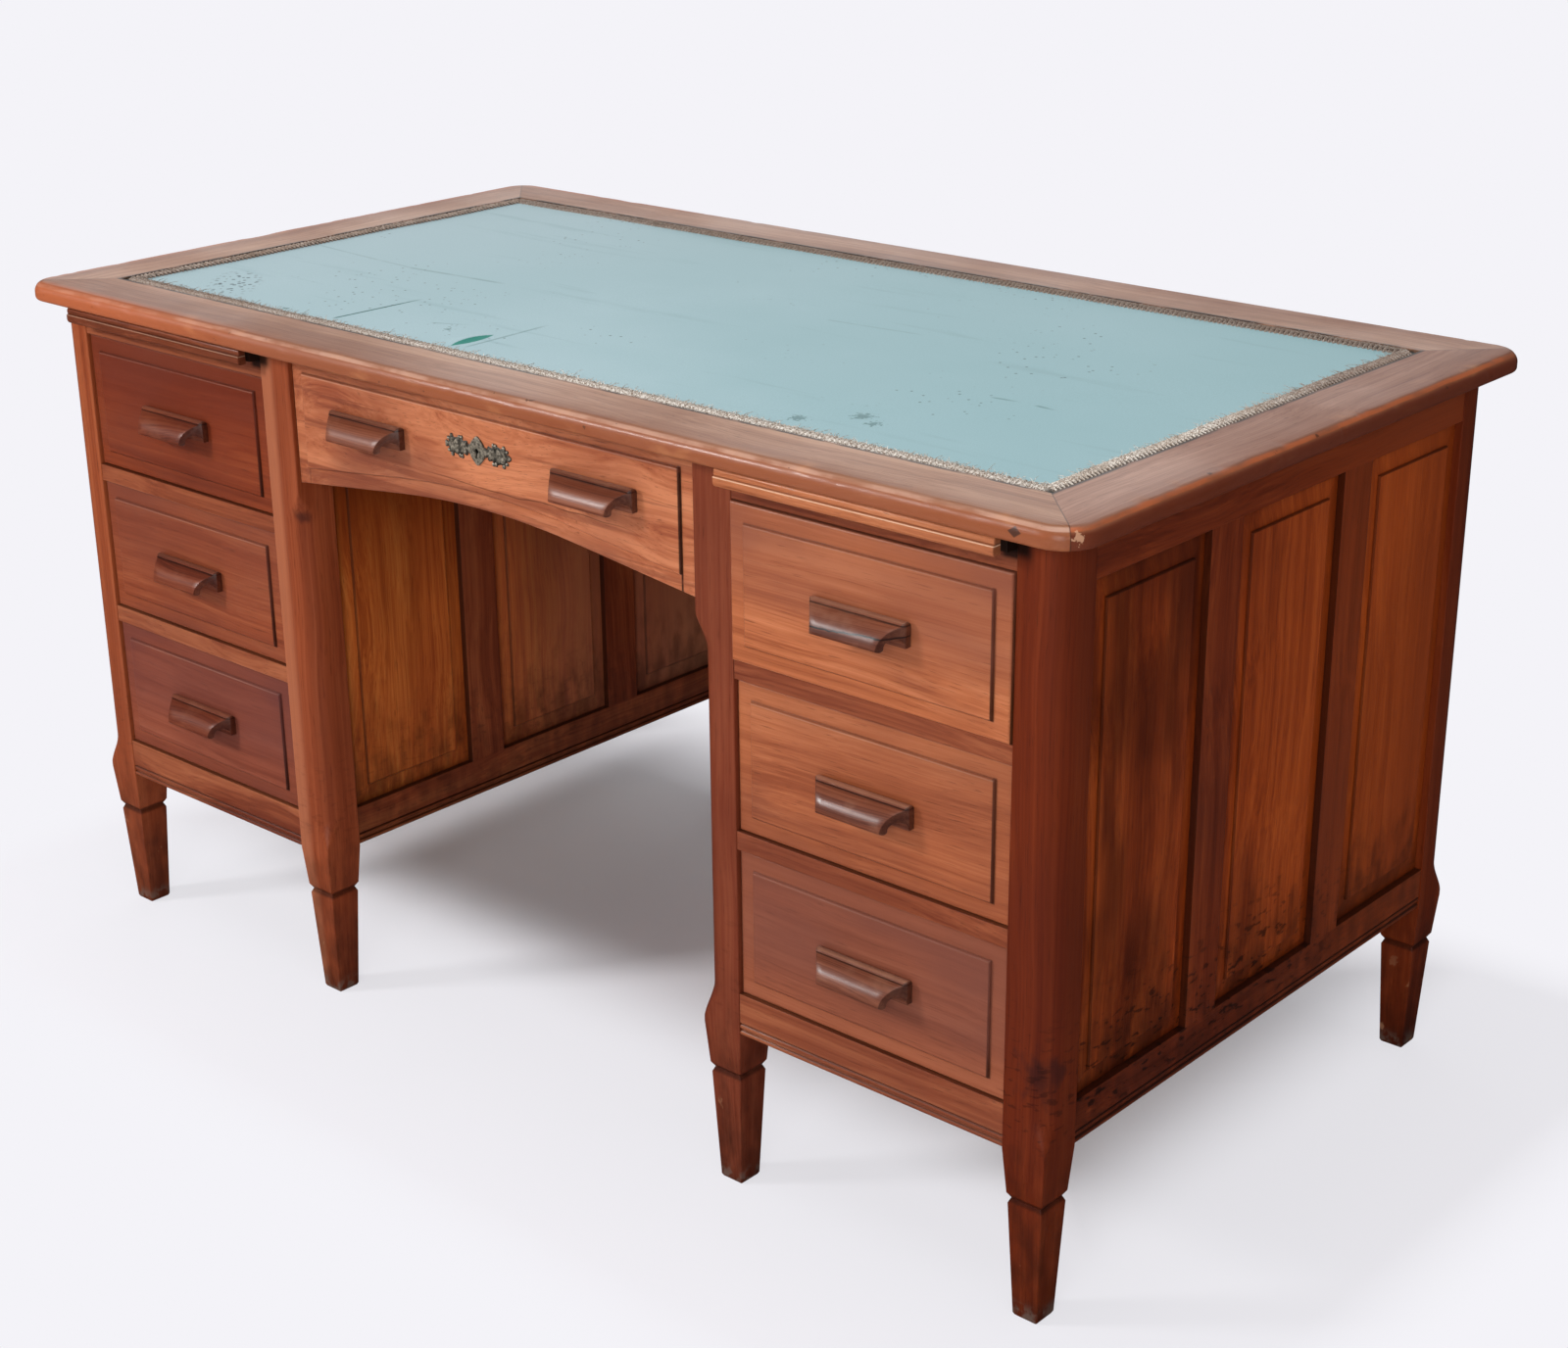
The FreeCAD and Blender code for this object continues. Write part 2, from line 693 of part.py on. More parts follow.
board_half = half_opening - slide_board_gap
lip_back_y = -half_depth - slide_out
board_low = slide_sill + running_clearance
lip_low = board_low + slide_board_thickness - lip_height
lip_length = opening_width + 2 * lip_overlap
for name, side in (("left", -1), ("right", 1)):
    middle = side * pedestal_middle
    board_x = (middle - board_half, middle + board_half)
    board_y = (lip_back_y, back_inner_y - slide_rear_clearance)
    write(name + "_slide_board", [block(board_x, board_y, (board_low, board_low + slide_board_thickness))])
    lip = moulding(lip_start_shares, lip_step_shares, lip_depth, lip_height, lip_length)
    lip.translate(V(middle, lip_back_y, lip_low))
    write(name + "_slide_lip", [lip])
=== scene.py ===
import math
from functools import partialmethod

import bpy
import numpy as np
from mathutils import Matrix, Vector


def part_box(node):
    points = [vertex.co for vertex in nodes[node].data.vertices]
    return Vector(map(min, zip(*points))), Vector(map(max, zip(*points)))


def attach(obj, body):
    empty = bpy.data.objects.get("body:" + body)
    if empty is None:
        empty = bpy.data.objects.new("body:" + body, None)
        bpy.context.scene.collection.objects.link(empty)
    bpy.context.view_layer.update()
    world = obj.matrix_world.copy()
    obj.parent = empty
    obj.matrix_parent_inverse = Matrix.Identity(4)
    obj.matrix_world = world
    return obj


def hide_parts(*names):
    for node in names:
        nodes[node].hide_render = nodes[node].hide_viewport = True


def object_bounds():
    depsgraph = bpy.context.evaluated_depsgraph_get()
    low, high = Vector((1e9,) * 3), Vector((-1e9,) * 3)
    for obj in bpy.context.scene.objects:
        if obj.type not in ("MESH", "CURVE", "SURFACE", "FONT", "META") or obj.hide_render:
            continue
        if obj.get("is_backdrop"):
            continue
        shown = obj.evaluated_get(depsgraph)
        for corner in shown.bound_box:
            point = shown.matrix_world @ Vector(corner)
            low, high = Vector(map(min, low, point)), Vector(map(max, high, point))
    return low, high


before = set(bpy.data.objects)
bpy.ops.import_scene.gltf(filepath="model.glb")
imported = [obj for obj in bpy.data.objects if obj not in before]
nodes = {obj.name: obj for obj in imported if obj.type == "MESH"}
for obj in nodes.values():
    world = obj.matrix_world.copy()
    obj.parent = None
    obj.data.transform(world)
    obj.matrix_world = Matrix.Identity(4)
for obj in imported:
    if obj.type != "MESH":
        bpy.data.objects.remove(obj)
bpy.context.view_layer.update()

# The eight posts of the two pedestals, each cut with its foot from one length of hardwood.
# One corner is rounded between carved stops, a V groove is cut round the ankle and the foot
# tapers below it. The rails of the framed sides and backs are tenoned into them.
ankle = 0.1255
post_levels = np.array([0, 0.0025, 0.12, ankle, 0.131, 0.177, 0.755])
post_half = np.array([0.0125, 0.01375, 0.019, 0.0165, 0.02, 0.0235, 0.0235])
post_round = 0.027
post_arris = 0.0012
stop_tip = 0.177
stop_full = 0.221
knee_stop_full = 0.564
knee_stop_tip = 0.608
# The black painted as the shadow in the writing slides' slots.
slot_shadow_tone = (14, 7, 5)
scene = bpy.context.scene


def named(*endings):
    """The CAD nodes whose names end so, in order of name and numbered."""
    return enumerate(sorted(name for name in nodes if name.endswith(endings)))


def linear(red, green, blue):
    """A colour as seen on a screen, 0 to 255, as a shader's linear colour."""
    shown = np.array([red, green, blue]) / 255
    return (*np.where(shown > 0.04045, ((shown + 0.055) / 1.055) ** 2.4, shown / 12.92), 1.0)


class Output:
    """An output of a shader node. Sums on it, with numbers or with other outputs, make further nodes."""

    def __init__(self, socket):
        self.socket = socket
        self.node = socket.node
        self.tree = socket.id_data

    def __getitem__(self, key):
        return Output(self.node.outputs[key])

    def sum(self, operation, *others):
        return add(self.tree, "Math", self, *others, operation=operation)

    __add__ = partialmethod(sum, "ADD")
    __sub__ = partialmethod(sum, "SUBTRACT")
    __rsub__ = partialmethod(sum, "MULTIPLY_ADD", -1)
    __mul__ = partialmethod(sum, "MULTIPLY")
    __abs__ = partialmethod(sum, "ABSOLUTE")


def fill(socket, value):
    """Links an output to a socket, or sets the socket to a constant. A colour is given as on a screen."""
    if isinstance(value, Output):
        value.tree.links.new(value.socket, socket)
    else:
        socket.default_value = linear(*value) if socket.type == "RGBA" else value


def add(tree, kind, *values, **given):
    """One shader node, as its first output. The values fill its sockets in order, the capitalised names
    fill the sockets of that name, and the other names are its settings."""
    made = tree.nodes.new("ShaderNode" + kind)
    for name in [n for n in given if n[0].islower()]:
        setattr(made, name, given.pop(name))
    for socket, value in zip(made.inputs, values):
        fill(socket, value)
    for name, value in given.items():
        fill(made.inputs[name.replace("_", " ")], value)
    return Output(made.outputs[0])


def larger(first, second):
    """The larger of two outputs."""
    return first.sum("MAXIMUM", second)


def length(vector):
    """The length of a vector."""
    return add(vector.tree, "VectorMath", vector, operation="LENGTH")["Value"]


def ramp(value, low, high, end=1, start=0):
    """start at low, end at high, and a smooth step between them."""
    return add(value.tree, "MapRange", value, low, high, start, end, interpolation_type="SMOOTHSTEP")


def mixed(share, first, second, kind="RGBA"):
    """Two colours or two vectors mixed by a share from 0 to 1."""
    made = add(share.tree, "Mix", share, data_type=kind)
    sockets = [socket for socket in made.node.inputs if socket.type == kind and socket.name in "AB"]
    fill(sockets[0], first)
    fill(sockets[1], second)
    return made[{"VECTOR": 1, "RGBA": 2}[kind]]


def noise(place, scale, seed, detail=3, distortion=0):
    """Noise from about 0 to 1 on a place stretched by scale, one number per metre or three."""
    start = (seed * 1.7, seed * 2.3, seed * 0.9)
    moved = add(place.tree, "Mapping", place, Location=start, Scale=np.ones(3) * scale)
    return add(place.tree, "TexNoise", moved, Scale=1, Detail=detail, Distortion=distortion)


class Finish:
    """A material: its shader, the object's own coordinates, whole and in parts, and its colour so far."""

    def __init__(self, name):
        self.material = bpy.data.materials.new(name)
        self.material.use_nodes = True
        self.tree = self.material.node_tree
        self.shader = self.tree.nodes["Principled BSDF"]
        self.place = add(self.tree, "TexCoord")["Object"]
        self.parts = add(self.tree, "SeparateXYZ", self.place)
        self.x, self.y, self.z = (self.parts[axis] for axis in range(3))

    def noise(self, *given):
        """Noise on the object's own coordinates."""
        return noise(self.place, *given)

    def lay(self, share, tone):
        """Lays a share of a tone over the colour so far."""
        self.colour = mixed(share, self.colour, tone)
        self.paint(Base_Color=self.colour)

    def paint(self, **sockets):
        """Fills sockets of the shader by their names."""
        for name, value in sockets.items():
            fill(self.shader.inputs[name.replace("_", " ")], value)


def along_grain(at, along):
    """The coordinates turned so that the first one runs along the grain."""
    order = {"x": (0, 1, 2), "y": (1, 0, 2), "z": (2, 0, 1)}[along]
    return add(at.tree, "CombineXYZ", *(at.parts[axis] for axis in order))


def wood(name, along, tones, seed, wave=0.06, figure=14, rough=0.36, coat=0.04, shine=0.22,
         cross=None, arris=0, film=0.14):
    """Varnished wood. Dark, middle and light tones follow noise stretched along the grain, in broad bands,
    streaks and fine lines. cross gives the heights between which the grain stands upright, as in a framed
    side, and arris softens the edges of a piece cut square."""
    at = Finish(name)
    grain = along_grain(at, along)
    if cross:
        between = at.z.sum("GREATER_THAN", cross[0]) * at.z.sum("LESS_THAN", cross[1])
        grain = mixed(between, grain, along_grain(at, "z"), "VECTOR")
    bend = (noise(grain, (2.5, 6, 6), seed + 3, 2) - 0.5) * wave
    shift = add(at.tree, "CombineXYZ", 0, bend, bend)
    grain = add(at.tree, "VectorMath", grain, shift, operation="ADD")
    bands = noise(grain, (0.8, figure, figure), seed)
    streaks = noise(grain, (1, figure * 6, figure * 6), seed + 1)
    lines = noise(grain, (2.2, figure * 28, figure * 28), seed + 2, 2)
    pores = noise(grain, (30, 1000, 1000), seed + 4, 1)
    blotch = at.noise(4, seed + 5)
    at.colour = add(at.tree, "ValToRGB", bands * 0.44 + (streaks * 0.32 + lines * 0.24))
    stops = at.colour.node.color_ramp.elements
    stops[0].position, stops[0].color = 0.39, linear(*tones[0])
    stops[1].position, stops[1].color = 0.61, linear(*tones[2])
    stops.new(0.5).color = linear(*tones[1])
    at.lay(ramp(blotch, 0.4, 0.72, 0.45), tones[0])
    at.lay(ramp(pores, 0.37, 0.27, 0.4), (60, 24, 12))
    height = lines + streaks + ramp(pores, 0.28, 0.4)
    bump = add(at.tree, "Bump", Strength=0.15, Distance=0.0006, Height=height)
    if arris:
        fill(bump.node.inputs["Normal"], add(at.tree, "Bevel", arris))
    at.paint(Roughness=ramp(blotch, 0.3, 0.75, rough + 0.12, rough - 0.07), Normal=bump,
             Specular_IOR_Level=shine, Coat_Weight=coat, Coat_Roughness=film)
    return at


def grime(at, low, high, amount, seed):
    """Dirt that fades upwards from the floor between two heights, broken by noise."""
    level = (at.noise((60, 60, 30), seed, 4) - 0.5) * ((high - low) * 1.6) + at.z
    at.lay(ramp(level, high, low, amount), (30, 15, 11))


def scuffs(at, seed, amount):
    """Fine dark scuffs low on a piece but above the feet, where shoes and brooms have struck it."""
    specks = at.noise((70, 70, 190), seed, 4)
    specks = ramp(specks, 0.57, 0.65) * ramp(at.z, 0.36, 0.24, amount) * ramp(at.z, 0.17, 0.21)
    at.lay(specks * ramp(at.y, 0.2, 0, 1, 0.2), (26, 12, 8))


def dress(name, at):
    """Gives a CAD node its material."""
    nodes[name].data.materials.clear()
    nodes[name].data.materials.append(at.material)


def shell(name, points, faces, at, crease=40):
    """A piece from points and faces, smooth but for edges sharper than the crease."""
    mesh = bpy.data.meshes.new(name)
    mesh.from_pydata(points.reshape(-1, 3).tolist(), [], faces)
    mesh.polygons.foreach_set("use_smooth", np.ones(len(mesh.polygons), dtype=bool))
    mesh.set_sharp_from_angle(angle=math.radians(crease))
    mesh.materials.append(at.material)
    piece = bpy.data.objects.new(name, mesh)
    scene.collection.objects.link(piece)
    return piece


def walls(count, around, first=0, closed=True):
    """Quads that join each of count rings of points to the next, as rows of four numbers."""
    row = np.arange(count - 1)[:, None] * around + first
    here = np.arange(around if closed else around - 1)
    on = (here + 1) % around
    quads = np.stack([row + here, row + on, row + around + on, row + around + here], axis=-1)
    return quads.reshape(-1, 4).tolist()


def skin(name, rings, at, crease=40):
    """A closed skin over rings[i, j], point j of ring i, with a flat cap at each end."""
    count, around = rings.shape[:2]
    ring = np.arange(around)
    caps = [ring[::-1].tolist(), (ring + (count - 1) * around).tolist()]
    return shell(name, rings, walls(count, around) + caps, at, crease)


def spread(x, y, z):
    """Points from their coordinates, which are first brought to one shape."""
    return np.stack(np.broadcast_arrays(x, y, z), axis=-1)


def post_rings(x, y, corner, stopped):
    """Square rings up a post: half-width h(z) is linear between the levels, and the chosen corner's radius
    is R (1 - cos(pi t)) / 2, t from 0 at a stop's tip to 1 at its full round. The others keep an arris."""
    stops = np.linspace((stop_tip, knee_stop_full), (stop_full, knee_stop_tip), 15)
    z = np.unique(np.concatenate([post_levels, np.linspace(0, 0.12, 5), stops.ravel()]))
    half = np.interp(z, post_levels, post_half)
    share = np.clip((z - stop_tip) / (stop_full - stop_tip), 0, 1)
    if stopped:
        share = np.minimum(share, np.clip((knee_stop_tip - z) / (knee_stop_tip - knee_stop_full), 0, 1))
    carved = post_round * (1 - np.cos(np.pi * share)) / 2
    rings = []
    for index, (sx, sy) in enumerate(((1, 1), (-1, 1), (-1, -1), (1, -1))):
        radius = np.maximum(carved * ((sx, sy) == corner), post_arris)[:, None]
        angle = np.linspace(0, np.pi / 2, 9)[None, :] + index * np.pi / 2
        across = x + sx * (half[:, None] - radius) + radius * np.cos(angle)
        deep = y + sy * (half[:, None] - radius) + radius * np.sin(angle)
        rings.append(spread(across, deep, z[:, None]))
    return np.concatenate(rings, axis=1)


def post_marks(at, seed, beside, dent):
    """The foot's dirt, a dark line of dirt and painted shade in the ankle groove, pale knocks, a worn sole,
    and a painted shadow beside a writing slide, where its slot lies in shade. dent gives a smear's place and
    size and the share of a pale bruise over it."""
    if dent:
        spot, size, bruised = dent
        away = add(at.tree, "VectorMath", at.place, spot, operation="SUBTRACT")
        smear = (at.noise((80, 80, 50), seed + 6) - 0.5) * (size * 2.3) + length(away)
        at.lay(ramp(smear, size, size * 0.15, 0.6), (46, 24, 24))
        bruise = add(at.tree, "Mapping", away, Location=(0, 0, -0.0075), Scale=(1, 1, 0.4))
        at.lay(ramp(length(bruise), 0.0045, 0.0025, bruised), (176, 166, 176))
    # Painted shadow: the post's face blackened beside the lip's end, where the slide's slot lies in shade.
    if beside:
        slot = ramp(at.x - beside.x, 0.02, 0.007) * ramp(at.z, beside.z - 0.024, beside.z - 0.013)
        at.lay(slot * 0.93, slot_shadow_tone)
    grime(at, -0.05, 0.22, 0.55, seed)
    # A dark line in the ankle groove, partly dirt and partly painted shade.
    at.lay(ramp(abs(at.z - ankle), 0.0055, 0.002, 0.6), (24, 12, 9))
    at.lay(ramp(at.noise((55, 55, 40), seed + 1), 0.68, 0.74) * ramp(at.z, 0.16, 0.02, 0.7), (168, 120, 88))
    at.lay(ramp(at.noise(120, seed + 2), 0.42, 0.6) * ramp(at.z, 0.022, 0.004, 0.6), (112, 98, 88))


post_tones = {
    "left": ((122, 54, 29), (142, 68, 38), (160, 84, 50)),
    "knee": ((100, 42, 24), (118, 54, 34), (134, 68, 44)),
    "right": ((92, 31, 12), (110, 42, 16), (126, 53, 23)),
}
beside_slide = {"right_outer_front_post": "right_slide_lip", "left_inner_front_post": "left_slide_lip"}
dents = {"left_inner_front_post": ((-0.2976, -0.3508, 0.574), 0.013, 0.7),
         "right_outer_front_post": ((0.69, -0.349, 0.262), 0.034, 0)}
for number, name in named("_post"):
    low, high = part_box(name)
    left, outer, front = "left" in name, "outer" in name, "front" in name
    corner = (-1 if left == outer else 1, -1 if front else 1) if outer or front else None
    rings = post_rings((low.x + high.x) / 2, (low.y + high.y) / 2, corner, front and not outer)
    tones = post_tones["left" if left else "right" if outer else "knee"]
    at = wood(name + "_wood", "z", tones, 11 + number, wave=0.025, shine=0.1)
    # Painted light: this post's front is lighter on its left, and keeps its own tone towards the knee side,
    # which lies in shade.
    if left and front and not outer:
        at.lay(ramp(at.x, high.x - 0.022, high.x - 0.034, 0.38), (200, 128, 92))
    slide = beside_slide.get(name)
    dent = dents.get(name)
    post_marks(at, 5 + number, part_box(slide)[1] if slide else None, dent)
    scuffs(at, 3 + number, 0.45 if dent and outer else 0.15)
    post = skin(name + "_shaped", rings, at)
    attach(post, "carcass")
    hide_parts(name)

# The framed sides and backs: rails and muntins of the same hardwood, mortised and tenoned together.
# Two reeds are planed along each bottom rail. They stand a little behind the faces of the posts.
# The deep set, for the right outer side, is darker and redder than lit, partly as painted shade on the side
# turned from the lamps.
frame_tones = {
    "lit": ((100, 42, 22), (130, 62, 34), (154, 84, 48)),
    "deep": ((88, 31, 11), (118, 45, 17), (142, 62, 25)),
}
rail_edges = (0.222, 0.711)
# Painted light: the right outer side's frames and panels turn lighter and more orange towards the back,
# between these depths.
back_light_orange = (186, 82, 26)
back_light_span = (-0.12, 0.28)


def steps(at, across, amount):
    """Painted shade, with some dirt, on the narrow faces that turn from the piece's own way, which is along
    the axis across.
    """
    way = add(at.tree, "SeparateXYZ", add(at.tree, "NewGeometry")["True Normal"])[across]
    at.lay(ramp(abs(way), 0.97, 0.8, amount), (30, 11, 6))


for number, name in named("_frame"):
    bare = name.startswith("right_outer")
    back = "back" in name
    tones = frame_tones["deep" if bare else "lit"]
    at = wood(name + "_wood", "x" if back else "y", tones, 31 + number, cross=rail_edges, arris=0.0012)
    if bare:
        # Painted light, lighter towards the back.
        at.lay(ramp(at.y, *back_light_span, 0.35), back_light_orange)
    grime(at, 0.15, 0.3, 0.5, 7 + number)
    scuffs(at, 9 + number, 0.8 if bare else 0.3)
    steps(at, 1 if back else 0, 0.75)
    dress(name, at)

# The raised panels, thin boards with bevelled margins and a flat field, loose in the frames' grooves.
# Their grain stands upright and is streaked, more orange than the frames; on the right outer side they are
# lighter towards the back, as painted light.
# The deep set, for the right outer side, is darker and redder than lit, partly as painted shade on the side
# turned from the lamps.
panel_tones = {
    "lit": ((132, 58, 26), (168, 88, 42), (190, 114, 60)),
    "deep": ((122, 45, 13), (158, 65, 19), (186, 86, 30)),
    "knee": ((148, 66, 26), (186, 96, 40), (208, 122, 56)),
}


def panel_marks(at, seed, across, cloud, scuff):
    """Broad dark clouds, partly the wood's own tone and partly painted shade, stronger towards the front;
    dirt along the foot, scuffs, and painted shade with some dirt in the steps round the field.
    """
    # Broad clouds, partly the wood's own tone and partly painted shade, stronger towards the front.
    clouds = at.noise((6, 6, 1.8), seed + 2, 4)
    at.lay(ramp(clouds, 0.44, 0.61, cloud) * ramp(at.y, 0.24, -0.1, 1, 0.2), (66, 22, 9))
    grime(at, 0.18, 0.34, 0.6, seed)
    scuffs(at, seed + 4, scuff)
    steps(at, across, 0.6)


for number, name in named("_panels"):
    bare, knee = name.startswith("right_outer"), "inner" in name
    tones = panel_tones["deep" if bare else "knee" if knee else "lit"]
    at = wood(name + "_wood", "z", tones, 47 + number, figure=30, shine=0.1, arris=0.001)
    if bare:
        # Painted light, lighter towards the back.
        at.lay(ramp(at.y, *back_light_span, 0.45), back_light_orange)
    if knee:
        # Painted light and shade on the knee hole's sides: darker towards the top, under the desk top, and
        # lighter towards the back, where light comes in from behind.
        at.lay(ramp(at.z, 0.4, 0.62, 0.8), (108, 42, 13))
        at.lay(ramp(at.y, -0.16, 0.08, 0.75), (136, 80, 62))
        at.lay(ramp(at.y, 0.12, 0.3, 0.7), (176, 118, 86))
    across = 1 if "back" in name else 0
    panel_marks(at, 17 + number, across, 0.3 if knee else 0.85, 0.8 if bare else 0.2)
    dress(name, at)

# The rails across the front of each pedestal, under and between the drawers, with a reeded bottom one.
# Hardwood like the posts, dovetailed into them.
rail_tones = ((112, 50, 30), (142, 74, 46), (166, 96, 62))
lip_short = 0.009


def paint_slot_shadow(at, top, end):
    """A painted shadow of the writing slide's slot: black past the lip's end, and a dark band along the
    rails' upper edge where the gap over the drawer lies in shade.
    """
    past = ramp(at.x, end - 0.012, end - 0.004) * ramp(at.z, top - 0.012, top - 0.006)
    at.lay(past * 0.9, slot_shadow_tone)
    at.lay(ramp(at.z, top - 0.0035, top - 0.0015, 0.9), (16, 8, 6))


for number, side in enumerate(("left", "right")):
    name = side + "_front_rails"
    at = wood(name + "_wood", "x", rail_tones, 61 + number, arris=0.0012)
    paint_slot_shadow(at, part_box(name)[1].z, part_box(side + "_slide_lip")[1].x - lip_short)
    steps(at, 1, 0.5)
    dress(name, at)

# The runners and guides that carry the drawers and slides, and the centre drawer's bearers.
# Plain unvarnished softer wood, glued and screwed along the sides.
plain_tones = ((112, 74, 42), (146, 102, 62), (174, 130, 86))
for number, name in enumerate(("left_runners", "right_runners")):
    dress(name, wood(name + "_wood", "y", plain_tones, 71 + number, rough=0.6, coat=0))

# The four rails of the desk top, mitred at the corners, with rounded edges and rounded plan corners.
# Solid hardwood, its varnish worn and knocked along the edges, glued round the panel under the cloth.
top_border = 0.079
top_corner = 0.035
top_round = 0.011
top_arris = 0.004
top_inner_corner = 0.001
round_in = 0.012
arc_points = 9
knock_count = 46
hair = 0.0001
# Painted sheen: the top's tones are greyed and lightened for the reflection of the pale wall in the varnish.
top_tones_with_sheen = ((136, 88, 64), (168, 118, 90), (194, 146, 116))
side_tones_with_sheen = ((132, 86, 68), (162, 114, 92), (188, 140, 118))


def turned(x, y, turn):
    """x and y after so many quarter turns about the upright axis."""
    cos, sin = np.array(((1, 0), (0, 1), (-1, 0), (0, -1)))[turn].T
    return cos * x - sin * y, sin * x + cos * y


def border_rail(half_run, half_across, low, high, turn, seed, strike):
    """One mitred rail. Its section, at t inside the outer edge and height z, is carried along the edge's
    path: straight, then an eighth of a turn of radius r(t) at each end, r = R - t near the edge and less
    towards the square inner corner. Knocks sink the edge by a sum of bells exp(-(u/a)^2 - (v/b)^2) at
    seeded places. strike, the mortise for the lock's bolt, gives a half-width, two insets and a depth."""
    half_width, near, far, depth = strike
    arc = np.linspace(0, np.pi / 2, arc_points)
    under = np.stack([top_arris * (1 - np.sin(arc)), low + top_arris * (1 - np.cos(arc))], axis=1)
    over = np.stack([top_round * (1 - np.cos(arc)), high - top_round * (1 - np.sin(arc))], axis=1)
    flat = np.array([[t, high] for t in (0.02, 0.035, 0.055, 0.0783)])
    inner = np.array([[top_border, high - 0.0007], [top_border, low]])
    foot = np.array([[far, low], [far - hair, low], [near + hair, low], [near, low]])
    section = np.concatenate([under, over, flat, inner, foot])
    inset, level = section[:, 0], section[:, 1]
    shrinking = np.interp(inset, [round_in, top_border], [top_corner - round_in, top_inner_corner])
    radius = np.where(inset < round_in, top_corner - inset, shrinking)
    middle = half_run - inset - radius
    jamb = half_width / middle[-2]
    jambs = [-jamb, hair - jamb, jamb - hair, jamb]
    straight = np.sort(np.concatenate([np.linspace(-1, 1, 361), jambs]))[:, None]
    bend = np.linspace(0, np.pi / 4, 9)[1:, None]
    end_run = middle + radius * np.sin(bend)
    end_across = half_across - inset - radius * (1 - np.cos(bend))
    run = np.concatenate([-end_run[::-1], straight * middle, end_run])
    middle_across = np.broadcast_to(half_across - inset, (len(straight), len(inset)))
    across = np.concatenate([end_across[::-1], middle_across, end_across])
    height = np.broadcast_to(level, run.shape).copy()
    pocket = len(bend) + np.flatnonzero(np.abs(straight[:, 0]) < jamb - hair / 2)
    height[pocket, -3:-1] += depth
    rng = np.random.default_rng(seed)
    spots = rng.uniform(-half_run, half_run, knock_count)
    dents = rng.uniform(0.0001, 0.0007, knock_count)
    width = rng.uniform(0.003, 0.014, knock_count)
    girth = rng.uniform(0, 1, knock_count)
    rest = len(section) - 2 * arc_points
    before, after = np.zeros(arc_points), np.zeros(rest)
    place = np.concatenate([before - 3, np.linspace(0, 1, arc_points), after + 3])
    bells = np.exp(-((run[:, :, None] - spots) / width) ** 2 - ((place[:, None] - girth) / 0.3) ** 2)
    sink = (dents * bells).sum(-1)
    height = height - sink * np.concatenate([before, np.sin(arc), after])
    across = across - sink * np.concatenate([before, np.cos(arc), after])
    return spread(*turned(run, -across, turn), height)


def border_marks(at, seed, worn, under):
    """The orange rounded edge below the face's painted sheen, darker low down as painted shade, with dark
    nicks, pale rubs and a painted highlight along its upper round; a painted shadow of the braid by the
    inner edge; the dark mitre line and, at the right of the front edge, a dark plug and a pale chip."""
    top = front_high.z
    side = abs(at.x) - top_half_x
    deep = abs(at.y - top_middle_y) - top_half_y
    at.lay(ramp(at.z, top - 0.0006, top - 0.004, 0.6), (160, 86, 48))
    skirt = larger(side, deep)
    at.lay(ramp(skirt, -0.05, -0.004, 0.5), (132, 70, 38))
    rubs = at.noise((22, 22, 60), seed, 5)
    rim = ramp(skirt, -0.03, -0.006)
    at.lay(rim * ramp(rubs, 0.56, 0.74, 0.45), (204, 138, 90))
    # Painted shade low on the edge, deepest on the right rail.
    at.lay(ramp(at.z, top - 0.003, top - 0.007, under[0]), under[1])
    # A painted highlight along the edge's upper round, broken like wear by the rubs.
    line = ramp(abs(at.z - (top - 0.0024)), 0.002, 0.0008, worn[0])
    at.lay(line * ramp(rubs, 0.36, 0.58, 1, 0.25), worn[1])
    at.lay(ramp(at.x, -0.2, -0.62, 0.55) * ramp(skirt, -0.022, -0.008), (192, 100, 58))
    at.lay(rim * ramp(at.noise((75, 75, 120), seed + 1), 0.7, 0.75, 0.7), (58, 30, 20))
    across = side - deep
    at.lay(ramp(abs(across), 0.0012, 0.0003, 0.6), (40, 24, 18))
    # A painted shadow of the braid along the border's inner edge.
    at.lay(ramp(skirt, -0.0735, -0.0765, 0.9) * ramp(rubs, 0.36, 0.52, 1, 0.35), (30, 20, 15))
    plug = abs(at.x - 0.668) * 0.7 + abs(at.z - (top - 0.01))
    in_front = at.y.sum("LESS_THAN", front_low.y + 0.02)
    at.lay(ramp(plug, 0.0054, 0.004, 0.85) * in_front, (62, 42, 36))
    corner = (top_half_x - 0.006, front_low.y + 0.016, top - 0.009)
    chip = add(at.tree, "VectorMath", at.place, corner, operation="DISTANCE")["Value"]
    chip = (at.noise(230, seed + 3, 4) - 0.5) * -0.022 + chip
    at.lay(ramp(chip, 0.0052, 0.0035, 0.7) * ramp(across, 0, 0.0008), (222, 170, 134))


